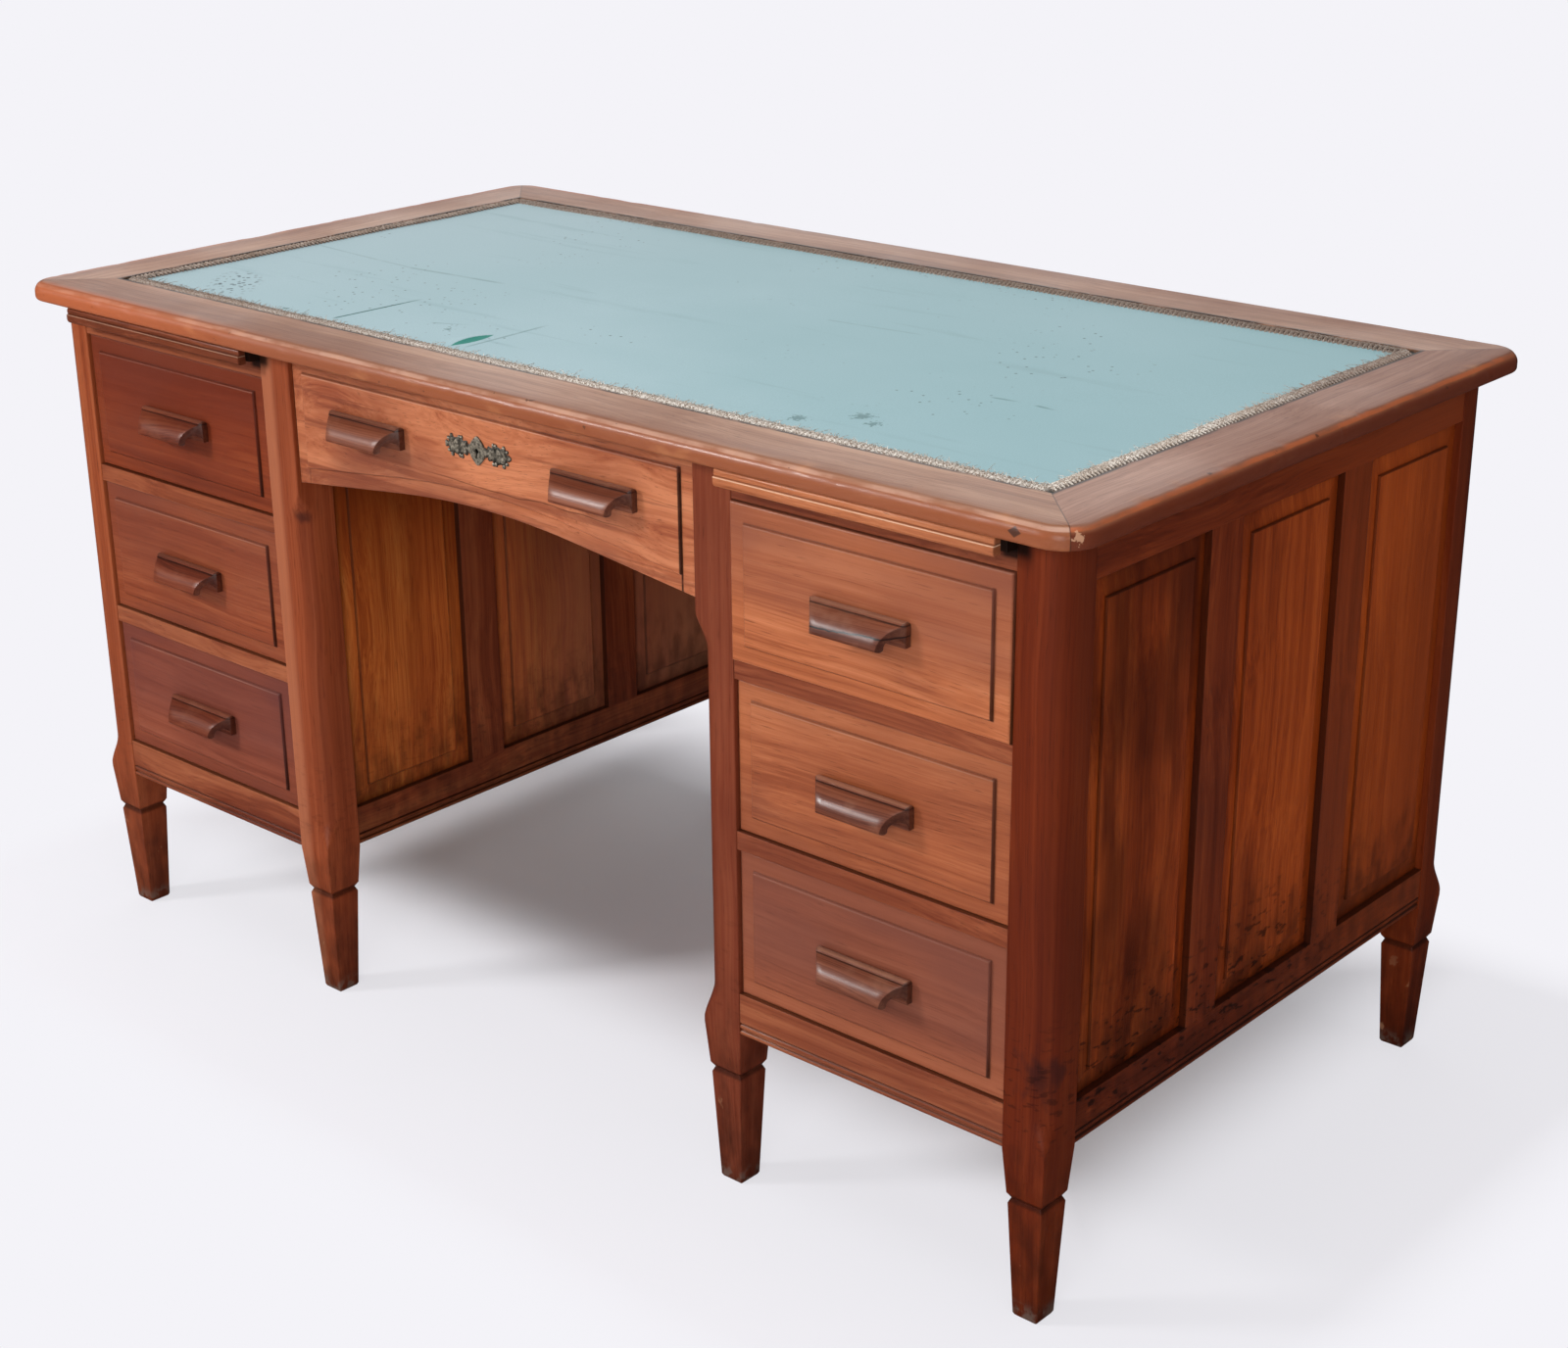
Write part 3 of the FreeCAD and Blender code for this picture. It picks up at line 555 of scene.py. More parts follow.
front_low, front_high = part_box("top_front_rail")
back_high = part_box("top_back_rail")[1]
top_half_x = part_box("top_right_rail")[1].x
top_half_y = (back_high.y - front_low.y) / 2
top_middle_y = (back_high.y + front_low.y) / 2
bolt_low, bolt_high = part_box("lock_bolt")
bolt_play = 0.001
strike_depth = 0.007
for turn, name in enumerate(("top_front_rail", "top_right_rail", "top_back_rail", "top_left_rail")):
    runs = (top_half_y, top_half_x) if turn % 2 else (top_half_x, top_half_y)
    right = turn == 1
    strike = (bolt_high.x + bolt_play, bolt_low.y - front_low.y - bolt_play,
              bolt_high.y - front_low.y + bolt_play, 0 if turn else strike_depth)
    rings = border_rail(*runs, front_low.z, front_high.z, turn, 300 + turn, strike)
    rings[..., 1] += top_middle_y
    at = wood(name + "_wood", "y" if turn % 2 else "x", side_tones_with_sheen if right else top_tones_with_sheen, 81 + turn,
              rough=0.4, coat=0.08, shine=0.3)
    # worn is the share and colour of the painted highlight on the edge, under those of the painted shade low
    # on it.
    worn = (0.8, (202, 106, 60)) if right else (0.42, (238, 194, 172))
    under = (0.85, (108, 42, 20)) if right else (0.35, (150, 74, 40))
    border_marks(at, 21 + turn, worn, under)
    rail = skin(name + "_shaped", rings, at, crease=30)
    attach(rail, "carcass")
    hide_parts(name)

# The panel inside the border, under the cloth: a glued-up board of plain wood, tongued into the rails.
# It is left bare, and only its underside shows.
dress("top_panel", wood("top_panel_wood", "x", plain_tones, 91, rough=0.6, coat=0))

# The writing surface, blue-green leathercloth glued over the panel and cut to the border.
# It is faded and scuffed, with ink specks, long scratches and a lens-shaped tear whose edge has lifted.
cloth_step = 0.005
cloth_swell = 0.0003
tear_x, tear_y = -0.128, -0.248
tear_half = 0.03
tear_lift = 0.0022
cloth_low, cloth_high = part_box("writing_surface")


def cloth_rings(low, high):
    """The sheet as z(x, y) = top - slow waves, with a lip L exp(-(v/w)^2) along one side of the tear."""
    x = np.linspace(low.x, high.x, int((high.x - low.x) / cloth_step))
    y = np.linspace(low.y, high.y, int((high.y - low.y) / cloth_step))
    x, y = np.meshgrid(x, y)
    waves = np.sin(9 * x + 4 * y) * np.cos(13 * y) + np.sin(21 * x - 17 * y)
    along = (y - top_middle_y - tear_y) / tear_half
    across = x - tear_x + 0.004 * (1 - along ** 2)
    lip = np.exp(-(across / np.where(across < 0, 0.009, 0.004)) ** 2)
    z = high.z - cloth_swell * (1 + 0.5 * waves) + tear_lift * lip * np.clip(1 - along ** 2, 0, 1)
    return spread(x, y, z)


def stroke(at, start_x, start_y, end_x, end_y, width, share):
    """A scratch on the cloth, as a mask: a share on its line, falling to 0 at its width and its ends."""
    long = math.hypot(end_x - start_x, end_y - start_y)
    ux, uy = (end_x - start_x) / long, (end_y - start_y) / long
    x = at.x - start_x
    y = at.y - (start_y + top_middle_y)
    along = x * ux + y * uy
    aside = y * ux - x * uy
    inside = ramp(along, -0.004, 0.004) * ramp(along, long + 0.004, long - 0.02)
    return inside * ramp(abs(aside), width, width * 0.3, share)


at = Finish("leathercloth")
fade = at.noise((2, 2.6, 2), 4, 4)
at.colour = mixed(ramp(fade, 0.3, 0.7), (161, 196, 203), (184, 211, 218))
# Painted sheen over the cloth's own fading: paler and greyer towards the left, tealer towards the right.
at.lay(ramp(at.x, 0.1, -0.7, 0.45), (186, 203, 210))
at.lay(ramp(at.x, -0.1, 0.6, 0.4), (146, 194, 200))
weave = at.noise(700, 5, 2)
at.lay(ramp(weave, 0.35, 0.65, 0.15), (120, 158, 162))
at.lay(ramp(at.noise((4, 40, 4), 6, 4), 0.6, 0.75, 0.3), (132, 168, 174))
scratches = ((-0.622, -0.041, -0.433, -0.057, 0.003, 0.22), (-0.44, -0.057, -0.293, -0.046, 0.004, 0.35),
             (-0.312, -0.275, -0.308, -0.155, 0.003, 1), (-0.214, -0.223, -0.172, -0.201, 0.002, 0.5),
             (-0.109, -0.273, -0.112, -0.153, 0.003, 0.4), (0.423, -0.092, 0.453, -0.089, 0.003, 0.5),
             (0.472, -0.09, 0.496, -0.092, 0.003, 0.55), (0.1, 0.05, 0.22, 0.06, 0.003, 0.2))
wander = at.noise(30, 8)
for scratch in scratches:
    at.lay(stroke(at, *scratch) * ramp(wander, 0.3, 0.55, 1, 0.35), (62, 112, 112))
specks = add(at.tree, "TexVoronoi", at.place, Scale=85)
at.lay(ramp(specks, 0.16, 0.1) * ramp(at.noise(7, 9, 2), 0.53, 0.64, 0.7), (58, 74, 80))
cluster_x = at.x + 0.535
cluster_y = at.y + (0.235 - top_middle_y)
reach = length(add(at.tree, "CombineXYZ", cluster_x - cluster_y, (cluster_x + cluster_y) * 2.2))
ink = add(at.tree, "TexVoronoi", at.place, Scale=130)
at.lay(ramp(ink, 0.36, 0.26) * ramp(reach, 0.11, 0.05, 0.8), (44, 62, 72))
stains = ((0.372, -0.22, 0.012), (0.395, -0.232, 0.008), (0.33, -0.262, 0.01), (-0.181, -0.23, 0.005),
          (-0.389, -0.28, 0.005))
for x, y, size in stains:
    away = length(add(at.tree, "CombineXYZ", at.x - x, at.y - (y + top_middle_y)))
    away = (at.noise(220, 10) - 0.5) * 0.036 + away
    at.lay(ramp(away, size, size * 0.4, 0.6), (70, 108, 108))
slit_v = (at.y - (tear_y + top_middle_y)) * (1 / tear_half)
slit_w = (1 - slit_v * slit_v) * 0.006
slit_u = abs(at.x - (tear_x + 0.003))
at.lay(ramp(slit_u - slit_w, 0.0008, -0.0008, 0.95), (18, 138, 122))
rim = larger(abs(at.x) - cloth_high.x, abs(at.y - top_middle_y) - (cloth_high.y - cloth_low.y) / 2)
# A painted shadow of the braid along the cloth's edge.
at.lay(ramp(rim, -0.016, -0.008, 0.85), (40, 36, 32))
at.paint(Specular_IOR_Level=0.3, Roughness=ramp(fade, 0.3, 0.7, 0.6, 0.46),
         Normal=add(at.tree, "Bump", Strength=0.25, Distance=0.0004, Height=weave))
sheet_points = cloth_rings(cloth_low, cloth_high)
rows, columns = sheet_points.shape[:2]
sheet_points = sheet_points.reshape(-1, 3)
numbers = np.arange(rows * columns).reshape(rows, columns)
edge = np.concatenate([numbers[0], numbers[1:, -1], numbers[-1, -2::-1], numbers[-2:0:-1, 0]])
hem = sheet_points[edge]
hem[:, 2] = cloth_low.z
ring = rows * columns + np.arange(len(edge))
skirt = np.stack([np.roll(edge, -1), edge, ring, np.roll(ring, -1)], axis=-1).tolist()
faces = walls(rows, columns, closed=False) + skirt + [ring[::-1].tolist()]
surface = shell("leathercloth_sheet", np.concatenate([sheet_points, hem]), faces, at)
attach(surface, "carcass")
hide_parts("writing_surface")

# The braid round the cloth's edge, a narrow gimp of tan and cream thread glued along the border.
# It is frayed, stands off the border in places and has loose ends all along.
braid_half = 0.0074
braid_height = 0.0044
braid_stitch = 0.0056
braid_in = 0.0092
braid_sink = 0.0004
thread_count = 2200
thread_half = 0.00036
braid = Finish("tan_braid")
fuzz = braid.noise(700, 12, 2)
worn = braid.noise(9, 13)
braid.colour = mixed(ramp(fuzz, 0.35, 0.62), (152, 132, 116), (242, 234, 224))
braid.lay(ramp(worn, 0.46, 0.68, 0.45), (178, 158, 140))
braid.lay(larger(ramp(braid.y, -0.1, 0.2, 0.65), ramp(braid.x, 0.2, -0.62, 0.65)), (122, 94, 78))
# Painted shade in the hollows between the stitches.
stitch_hollow_shade = add(braid.tree, "Attribute", attribute_name="stitch")["Fac"]
braid.lay(ramp(stitch_hollow_shade, 0.45, 0.2, 0.75), (70, 52, 40))
braid.paint(Roughness=ramp(worn, 0.3, 0.7, 0.95, 0.8),
            Normal=add(braid.tree, "Bump", Strength=0.5, Distance=0.0005, Height=fuzz))


def braid_rings(half_run, half_across, turn, seed):
    """A flat oval ring carried along one edge. Its top is raised by h (0.6 + 0.4 sin(2 pi s / p + 3 |w|)),
    the herringbone of the stitches, with s along it and w across, and its line wanders by slow seeded
    waves. Gives the points and the stitch's share from 0 to 1 at each."""
    rng = np.random.default_rng(seed)
    s = np.linspace(-half_run + braid_in, half_run - braid_in, int(2 * half_run / 0.0006))[:, None]
    angle = np.linspace(0, 2 * np.pi, 14, endpoint=False)
    w = np.cos(angle)
    waves = rng.uniform(4, 40, 7), rng.uniform(0, 6, 7), rng.uniform(0.1, 0.5, 7)
    drift = 0.001 * (waves[2] * np.sin(s * waves[0] + waves[1])).sum(-1, keepdims=True)
    phase = 2 * np.pi * s / braid_stitch
    stitch = 0.6 + 0.4 * np.sin(phase + 3 * np.abs(w))
    thin = 1 + 0.25 * np.sin(phase + 1.5 + np.pi * (w > 0))
    across = half_across - braid_in + drift + braid_half * w * thin
    crown = np.where(np.sin(angle) > 0, braid_height * np.abs(np.sin(angle)) ** 0.6, 0)
    z = cloth_high.z - braid_sink + crown * stitch
    x, y = turned(s, -across, turn)
    return spread(x, y + top_middle_y, z), (stitch - 0.2) / 0.8


def loose_threads(half_x, half_y, count, seed):
    """Short three-sided tubes: each line is p(u) = root + d u + up h sin(pi u / 2), u from 0 to 1."""
    rng = np.random.default_rng(seed)
    side = rng.choice(4, count, p=(0.4, 0.2, 0.25, 0.15))
    along = rng.uniform(-1, 1, count)
    spread_out = rng.uniform(-0.004, 0.004, count) - braid_in
    long_side = side % 2 == 0
    run = along * (np.where(long_side, half_x, half_y) - 0.01)
    root_x, root_y = turned(run, -np.where(long_side, half_y, half_x) - spread_out, side)
    heading = rng.uniform(0.15, 2.99, count)
    long = rng.gamma(2.2, 0.0022, count) + 0.002
    way_x, way_y = turned(np.cos(heading), np.sin(heading), side)
    rise = rng.uniform(0.001, 0.0045, count)
    tallest = np.argsort(np.abs(root_x - 0.071) + np.abs(root_y + half_y))[:3]
    rise[tallest] = (0.009, 0.007, 0.0055)
    lines = np.stack([root_x, root_y, way_x, way_y, long, rise])
    root_x, root_y, way_x, way_y, long, rise = lines[..., None, None]
    u = np.linspace(0, 1, 4)[:, None]
    angle = np.linspace(0, 2 * np.pi, 3, endpoint=False)
    thick = thread_half * (1 - 0.5 * u)
    aside = thick * np.cos(angle)
    x = root_x + way_x * long * u - way_y * aside
    y = root_y + way_y * long * u + way_x * aside + top_middle_y
    z = cloth_high.z + 0.0016 + rise * np.sin(np.pi * u / 2) + thick * np.sin(angle)
    start = np.arange(count)[:, None] * 12
    faces = (start[:, :, None] + np.array(walls(4, 3))[None]).reshape(-1, 4).tolist()
    ends = np.concatenate([start + np.array([2, 1, 0]), start + np.array([9, 10, 11])]).tolist()
    return spread(x, y, z), faces + ends


def mark_stitches(piece, share):
    """Keeps the stitch's share at each point of a piece, for the braid's colour."""
    piece.data.attributes.new("stitch", "FLOAT", "POINT").data.foreach_set("value", share.ravel())


inner_x, inner_y = top_half_x - top_border, top_half_y - top_border
for turn, name in enumerate(("front_braid", "right_braid", "back_braid", "left_braid")):
    runs = (inner_y, inner_x) if turn % 2 else (inner_x, inner_y)
    rings, share = braid_rings(*runs, turn, 400 + turn)
    piece = skin(name, rings, braid, crease=80)
    mark_stitches(piece, share)
    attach(piece, "carcass")
tubes = loose_threads(inner_x, inner_y, thread_count, 410)
threads = shell("braid_loose_threads", *tubes, braid, crease=80)
mark_stitches(threads, np.ones(len(threads.data.vertices)))
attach(threads, "carcass")

# The drawer boxes: sides dovetailed into the fronts, a back, and a bottom held in a groove.
# Plain pale wood, left unvarnished.
for number, name in named("_box"):
    dress(name, wood(name + "_wood", "y", plain_tones, 101 + number, rough=0.6, coat=0))

# The drawer fronts, solid hardwood with a raised field inside a narrow border, the grain lengthwise.
# The centre one has wavy grain and a long fine shake low across it. The others are darker, and the right
# stack's lighter tones are partly painted light.
field_margin = 0.0175
# The right stack's lighter tones stand partly for painted light, where the lamps fall more on it.
right_tones = ((146, 74, 42), (182, 104, 64), (204, 126, 84))
front_looks = {
    "centre": (((132, 60, 36), (178, 102, 66), (204, 128, 88)), None),
    "left_top": (((101, 38, 18), (126, 53, 27), (144, 69, 37)), (0.55, (112, 44, 25), 0.025)),
    "left_middle": (((115, 50, 28), (142, 69, 41), (161, 88, 54)), (0.55, (116, 60, 46), 0.025)),
    "left_bottom": (((117, 54, 36), (143, 73, 50), (158, 88, 63)), (0.85, (102, 54, 50), 0.025)),
    "right_top": (right_tones, (0.75, (128, 72, 56), 0.045)),
    "right_middle": (right_tones, (0.4, (122, 68, 48), 0.045)),
    "right_bottom": (((128, 66, 42), (156, 87, 60), (176, 106, 76)), (0.8, (119, 67, 54), -0.01)),
}


def front_marks(at, low, high, ajar, margin, dull, seed):
    """Painted shade along the step where the field rises from the border, painted highlights on the field's
    top edge and top arris, painted shade on the front's top and ends, and dull patches. dull is the share,
    tone and start of a darkening upwards, or None for the centre drawer with its keyhole painted black,
    veins and shake."""
    middle = (low.x + high.x) / 2
    half = (high.x - low.x) / 2 - field_margin
    patches = at.noise((3, 3, 10), seed, 4)
    side = abs(at.x - middle) - half
    up = at.z - (high.z - field_margin)
    if dull:
        up = larger(up, low.z + field_margin - at.z)
    outside = larger(side, up)
    # Painted shade in the step round the field, deepest on its right side.
    shaded = at.x.sum("GREATER_THAN", middle + half - 0.003) * 0.55 + 0.35
    at.lay(ramp(abs(outside), 0.0018, 0.0006) * shaded, (36, 14, 8))
    # A painted highlight along the field's top edge.
    rise = ramp(abs(at.z - (high.z - field_margin - 0.0014)), 0.0008, 0.0002) * ramp(side, 0, -0.002)
    at.lay(rise * 0.22, (232, 184, 156))
    # A painted highlight along the front's top arris, strongest on the drawer that stands ajar.
    top_arris_highlight = ramp(at.z, high.z - 0.0017, high.z - 0.0009, 0.6 if ajar else 0.12)
    at.lay(top_arris_highlight * ramp(patches, 0.4, 0.55), (236, 196, 170))
    # Painted shade on the front's top face and ends, which lie in the gaps round the drawer.
    behind = ramp(at.y, low.y + 0.0038, low.y + 0.0046)
    ends = ramp(side, field_margin - 0.0008, field_margin - 0.0003)
    ends = larger(ends, ramp(at.z, high.z - 0.0008, high.z - 0.0003))
    at.lay(ends * behind * 0.9, (20, 9, 6))
    at.lay(ramp(patches, 0.48, 0.7, 0.6), (106, 54, 42))
    if dull:
        share, tone, start = dull
        shade = ramp(at.z, low.z + start, high.z - 0.06, share)
        at.lay(shade * ramp(patches, 0.36, 0.56, 1, 0.5), tone)
        at.lay(ramp(outside, -0.001, 0.001, 0.16), margin)
    else:
        key_low, key_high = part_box("escutcheon")
        key_z = (key_low.z + key_high.z) / 2 - 0.003
        # The keyhole painted black, the shade of the hole behind the escutcheon.
        key = length(add(at.tree, "CombineXYZ", X=at.x * 1.7, Z=at.z - key_z))
        at.lay(ramp(key, 0.0075, 0.007), (10, 7, 5))
        at.lay(ramp(at.noise((2.6, 1, 85), seed + 2, 3, 0.7), 0.45, 0.36, 0.5), (116, 56, 38))
        line = at.noise((9, 1, 1), seed + 1, 2) * 0.02 + (at.z - (low.z + 0.062))
        shake = ramp(abs(line), 0.0009, 0.0003, 0.55)
        at.lay(shake * (ramp(at.x, -0.12, -0.02) * ramp(at.x, 0.24, 0.16)), (60, 26, 15))


for number, name in named("_drawer_front"):
    low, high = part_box(name)
    drawer = name.removesuffix("_drawer_front")
    tones, dull = front_looks[drawer]
    at = wood(name + "_wood", "x", tones, 121 + number, wave=0.03 if dull else 0.18,
              figure=18 if dull else 13, arris=0.0012)
    margin = (182, 100, 58) if drawer.startswith("right") else (140, 68, 40)
    front_marks(at, low, high, drawer == "right_top", margin, dull, 27 + number)
    dress(name, at)

# The pulls, each moulded from one dark hardwood block: a flat plate, a bead along its top and a hood with
# a hollow under it. The ends are cut in towards the lip. They are screwed on from inside the drawer.
pull_depth = 0.0277
pull_height = 0.0257
pull_half = 0.054
pull_end_cut = 0.0165
pull_plate = 0.25
pull_arris = 0.0009
pull_tones = {
    "left": ((78, 32, 19), (106, 47, 29), (130, 66, 42)),
    "right": ((84, 40, 26), (116, 62, 42), (142, 84, 60)),
}
pull_gloss = {"left": 0.1, "centre": 0.2, "right": 0.3}


def arc_through(first, middle, last, count):
    """Points along the circle through three points, from the first to the last."""
    a, b, c = (complex(*point) for point in (first, middle, last))
    w = (c - a) / (b - a)
    centre = a + (b - a) * (w - abs(w) ** 2) / (2j * w.imag)
    a, b, c = a - centre, b - centre, c - centre
    line = centre + a * np.exp(1j * np.linspace(0, np.angle(b / a) + np.angle(c / b), count))
    return np.stack([line.real, line.imag], axis=1)


def pull_section():
    """The pull's section in shares of depth and height, once round from the foot of the plate."""
    hollow = arc_through((pull_plate, -0.92), (0.56, -0.57), (0.823, -0.895), 14)
    lip = arc_through((0.823, -0.895), (0.928, -1), (1, -0.856), 10)[1:]
    hood = arc_through((1, -0.856), (0.815, -0.45), (0.36, -0.14), 18)[1:]
    bead = arc_through((0.36, -0.08), (0.24, 0), (0, -0.18), 14)
    return np.concatenate([[(0, -0.92)], hollow, lip, hood, bead])


def pull_rings(x, y, z):
    """The section carried along X. Each point's run ends at half - c max(0, (d - p) / (1 - p)), so the ends
    slant in from the plate to the lip. The last rings are drawn in to the middle for a soft arris."""
    section = pull_section()
    d, h = section[:, 0], section[:, 1]
    reach = pull_half - pull_end_cut * np.clip((d - pull_plate) / (1 - pull_plate), 0, None)
    inward = (np.array([0.42, -0.55]) - section) * np.array([pull_depth, pull_height])
    inward = inward / np.linalg.norm(inward, axis=1, keepdims=True)
    stations = np.concatenate([-np.ones(3), np.linspace(-0.8, 0.8, 9), np.ones(3)])
    ends = np.array([[1, 0.3, 0], [0, 0.35, 1.2]]) * pull_arris
    shrink, ease = np.concatenate([ends, np.zeros((2, 9)), ends[:, ::-1]], axis=1)[..., None]
    across = x + stations[:, None] * (reach - ease)
    deep = y - d * pull_depth - inward[:, 0] * shrink
    tall = z + h * pull_height + inward[:, 1] * shrink
    return spread(across, deep, tall)


def pull_marks(at, crack_z, middle_x, face_y, top_z, rubs_and_highlight, seed):
    """Pale rubs, ends darkened as end grain with painted shade, painted shade in the quirk and a painted
    highlight on the bead, and on one pull a crack.
    """
    past = abs(at.x - middle_x)
    slope = pull_end_cut / (pull_depth * (1 - pull_plate))
    slant = (face_y - pull_plate * pull_depth - at.y) * slope + past
    ends = ramp(larger(slant, past), pull_half - 0.0012, pull_half - 0.0004)
    at.lay(ramp(at.noise((40, 40, 60), seed, 4), 0.52, 0.7, rubs_and_highlight), (150, 104, 82))
    if crack_z:
        bend = at.noise((60, 1, 1), seed + 1)
        line = bend * 0.006 + (at.x - middle_x) * -0.06 + (at.z - crack_z)
        at.lay(ramp(abs(line), 0.001, 0.0004, 0.95), (20, 10, 8))
    under = top_z - at.z
    # Painted shade in the quirk under the bead.
    at.lay(ramp(abs(under - 0.0031), 0.001, 0.0004, 0.7), (30, 13, 9))
    # A painted highlight along the top of the bead.
    at.lay(ramp(under, 0.0016, 0.0006, rubs_and_highlight * 0.7), (206, 158, 130))
    # The ends darkened, end grain with painted shade.
    at.lay(ends * 0.5, (44, 20, 14))


def pull_piece(name, x, y, z, finish, body):
    """One pull, with each end closed by a face on the plate and a slanted face on the hood."""
    rings = pull_rings(x, y, z)
    count, around = rings.shape[:2]
    section = pull_section()
    fold = int(np.argmin(np.abs(section[40:, 0] - pull_plate))) + 40
    plate = [0, 1] + list(range(fold, around))
    hood = list(range(1, fold + 1))
    last = (count - 1) * around
    ends = [hood, plate, [last + i for i in reversed(hood)], [last + i for i in reversed(plate)]]
    quads = np.array(walls(count, around))[:, ::-1].tolist()
    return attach(shell(name, rings, quads + ends, finish, crease=35), body)


for number, name in named("_pull", "_pulls"):
    low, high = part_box(name)
    pair = name.endswith("_pulls")
    drawer = name.rsplit("_", 1)[0]
    side = name.split("_")[0]
    places = (low.x + pull_half, high.x - pull_half) if pair else ((low.x + high.x) / 2,)
    crack = high.z - 0.013 if name == "right_top_drawer_pull" else None
    tones = pull_tones["left" if side == "left" else "right"]
    gloss = pull_gloss[side]
    for index, x in enumerate(places):
        at = wood(f"{name}_wood_{index}", "x", tones, 141 + number + 9 * index, figure=40, rough=0.38,
                  coat=gloss, film=0.26, shine=0.1 + gloss / 2)
        pull_marks(at, crack, x, high.y, high.z, gloss, 33 + number)
        piece = pull_piece(f"{name}_shaped_{index}", x, high.y, high.z, at, drawer)
        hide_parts(name)

# The lock behind the centre drawer's front: a steel case let into the wood and screwed, and its bolt.
# Both are filed bright and have dulled with age.
at = Finish("lock_steel")
filed = at.noise((40, 40, 600), 5)
at.paint(Base_Color=mixed(filed, (110, 108, 104), (160, 158, 152)),
         Roughness=ramp(filed, 0.3, 0.7, 0.5, 0.3), Metallic=1)
dress("lock_case", at)
dress("lock_bolt", at)

# The escutcheon, a cast and pierced bronze plate round the keyhole, pinned to the drawer front.
# A pointed boss stands in the middle, with leafy wings of lobes and crockets to each side.
wing_lobes = ((33, 0, 11, 9.2, 1.6, 6), (20, 0, 8.5, 7.6, 1.5, 6), (44.5, 0, 3, 3.4, 1.6, 3),
              (26.2, 8.8, 1.8, 3, 1.9, 2), (22.8, 9.2, 1.6, 2.8, 1.9, 2), (25.8, -9, 1.8, 3, 1.9, 2),
              (22.4, -9.4, 1.6, 2.8, 1.9, 2), (37.5, 9.2, 2, 2.6, 1.8, 2), (37, -9.4, 2, 2.8, 1.8, 2),
              (42, 6, 2, 2.2, 1.7, 2), (41.6, -6.2, 2, 2.2, 1.7, 2), (31, 3, 3, 3.4, 2.5, 4),
              (35.5, -3, 3.2, 3.2, 2.5, 4), (20.5, 2.6, 2.6, 2.8, 2.4, 4), (18.5, -3.2, 2.4, 2.8, 2.4, 4),
              (11.5, 0, 4.5, 4.6, 1.5, 4))
boss_half = (12.5, 14.8)
plate_low, plate_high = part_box("escutcheon")
bronze = Finish("old_bronze")
patina = bronze.noise(420, 6, 4)
bronze.colour = mixed(ramp(patina, 0.3, 0.7), (80, 74, 64), (166, 156, 138))
bronze.lay(ramp(plate_high.y - bronze.y, 0.0014, 0.0008, 0.8), (20, 18, 15))
bronze.paint(Roughness=ramp(patina, 0.3, 0.7, 0.5, 0.28), Metallic=0.4,
             Normal=add(bronze.tree, "Bump", Strength=0.3, Distance=0.0004, Height=patina))


def lobe(x, z, half_x, half_z, rise, points):
    """A cast lobe in millimetres: outline r(a) = 1 + 0.14 cos(n a), height h sqrt(1 - 0.92 q^2) with grooves
    between its points."""
    angle = np.linspace(0, 2 * np.pi, 28, endpoint=False)
    q = np.array([1, 1, 0.9, 0.72, 0.5, 0.25, 0.06])[:, None]
    edge = 1 + 0.14 * np.cos(points * angle)
    height = rise * np.sqrt(1 - 0.92 * q ** 2) * (1 - 0.22 * q * (1 - np.cos(points * angle)) / 2)
    height[0] = 0
    across = x + half_x * q * edge * np.cos(angle)
    return spread(across, -height, z + half_z * q * edge * np.sin(angle))


def boss():
    """The boss as a ring closed both ways, in millimetres: outer edge of half-axes a |cos|^1.5 and
    b |sin|^1.5, inner edge the keyhole, a circle drawn out downwards, with a bead raised round it."""
    angle = np.linspace(0, 2 * np.pi, 64, endpoint=False)
    way = np.stack([np.cos(angle), np.sin(angle)], axis=1)
    outer = np.array(boss_half) * np.sign(way) * np.abs(way) ** 1.5
    lag = (angle - 1.5 * np.pi + np.pi) % (2 * np.pi) - np.pi
    inner = (2.8 + 4.6 * np.exp(-(lag / 0.3) ** 2))[:, None] * way
    share = np.array([1, 1, 0.94, 0.75, 0.5, 0.3, 0.16, 0.06, 0, 0])[:, None, None]
    height = np.array([0, 1.4, 1.9, 2, 2.2, 2.6, 2.9, 2.7, 2.2, 0])[:, None]
    flat = inner + (outer - inner) * share
    return spread(flat[..., 0], -height, flat[..., 1])


leaves = [lobe(side * leaf[0], *leaf[1:]) for side in (1, -1) for leaf in wing_lobes]
rings = boss()
points = np.concatenate([leaf.reshape(-1, 3) for leaf in leaves] + [rings.reshape(-1, 3)])
leaf_rows, leaf_around = leaves[0].shape[:2]
per_leaf = leaf_rows * leaf_around
rim = np.arange(leaf_around)
faces = []
for first in range(0, len(leaves) * per_leaf, per_leaf):
    faces += walls(leaf_rows, leaf_around, first)
    faces += [(first + rim[::-1]).tolist(), (first + per_leaf - leaf_around + rim).tolist()]
boss_rows, boss_around = rings.shape[:2]
boss_first = len(leaves) * per_leaf
faces += walls(boss_rows, boss_around, boss_first)
seam = boss_first + np.arange(boss_around)
last = seam + (boss_rows - 1) * boss_around
faces += np.stack([last, np.roll(last, -1), np.roll(seam, -1), seam], axis=-1).tolist()
middle = (plate_low + plate_high) / 2
points = points / 1000 + np.array([middle.x, plate_high.y, middle.z])
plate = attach(shell("escutcheon_cast", points, faces, bronze, crease=60), "centre_drawer")
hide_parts("escutcheon")

# The writing slides, boards that pull out above the drawers, each with a moulded lip glued to its front.
# The boards are bare hardwood, their tone very dark partly as painted shade in the slot; the lips are
# varnished like the rails, the left one darker as painted shade.
board_tones = ((52, 26, 14), (78, 42, 24), (104, 62, 38))
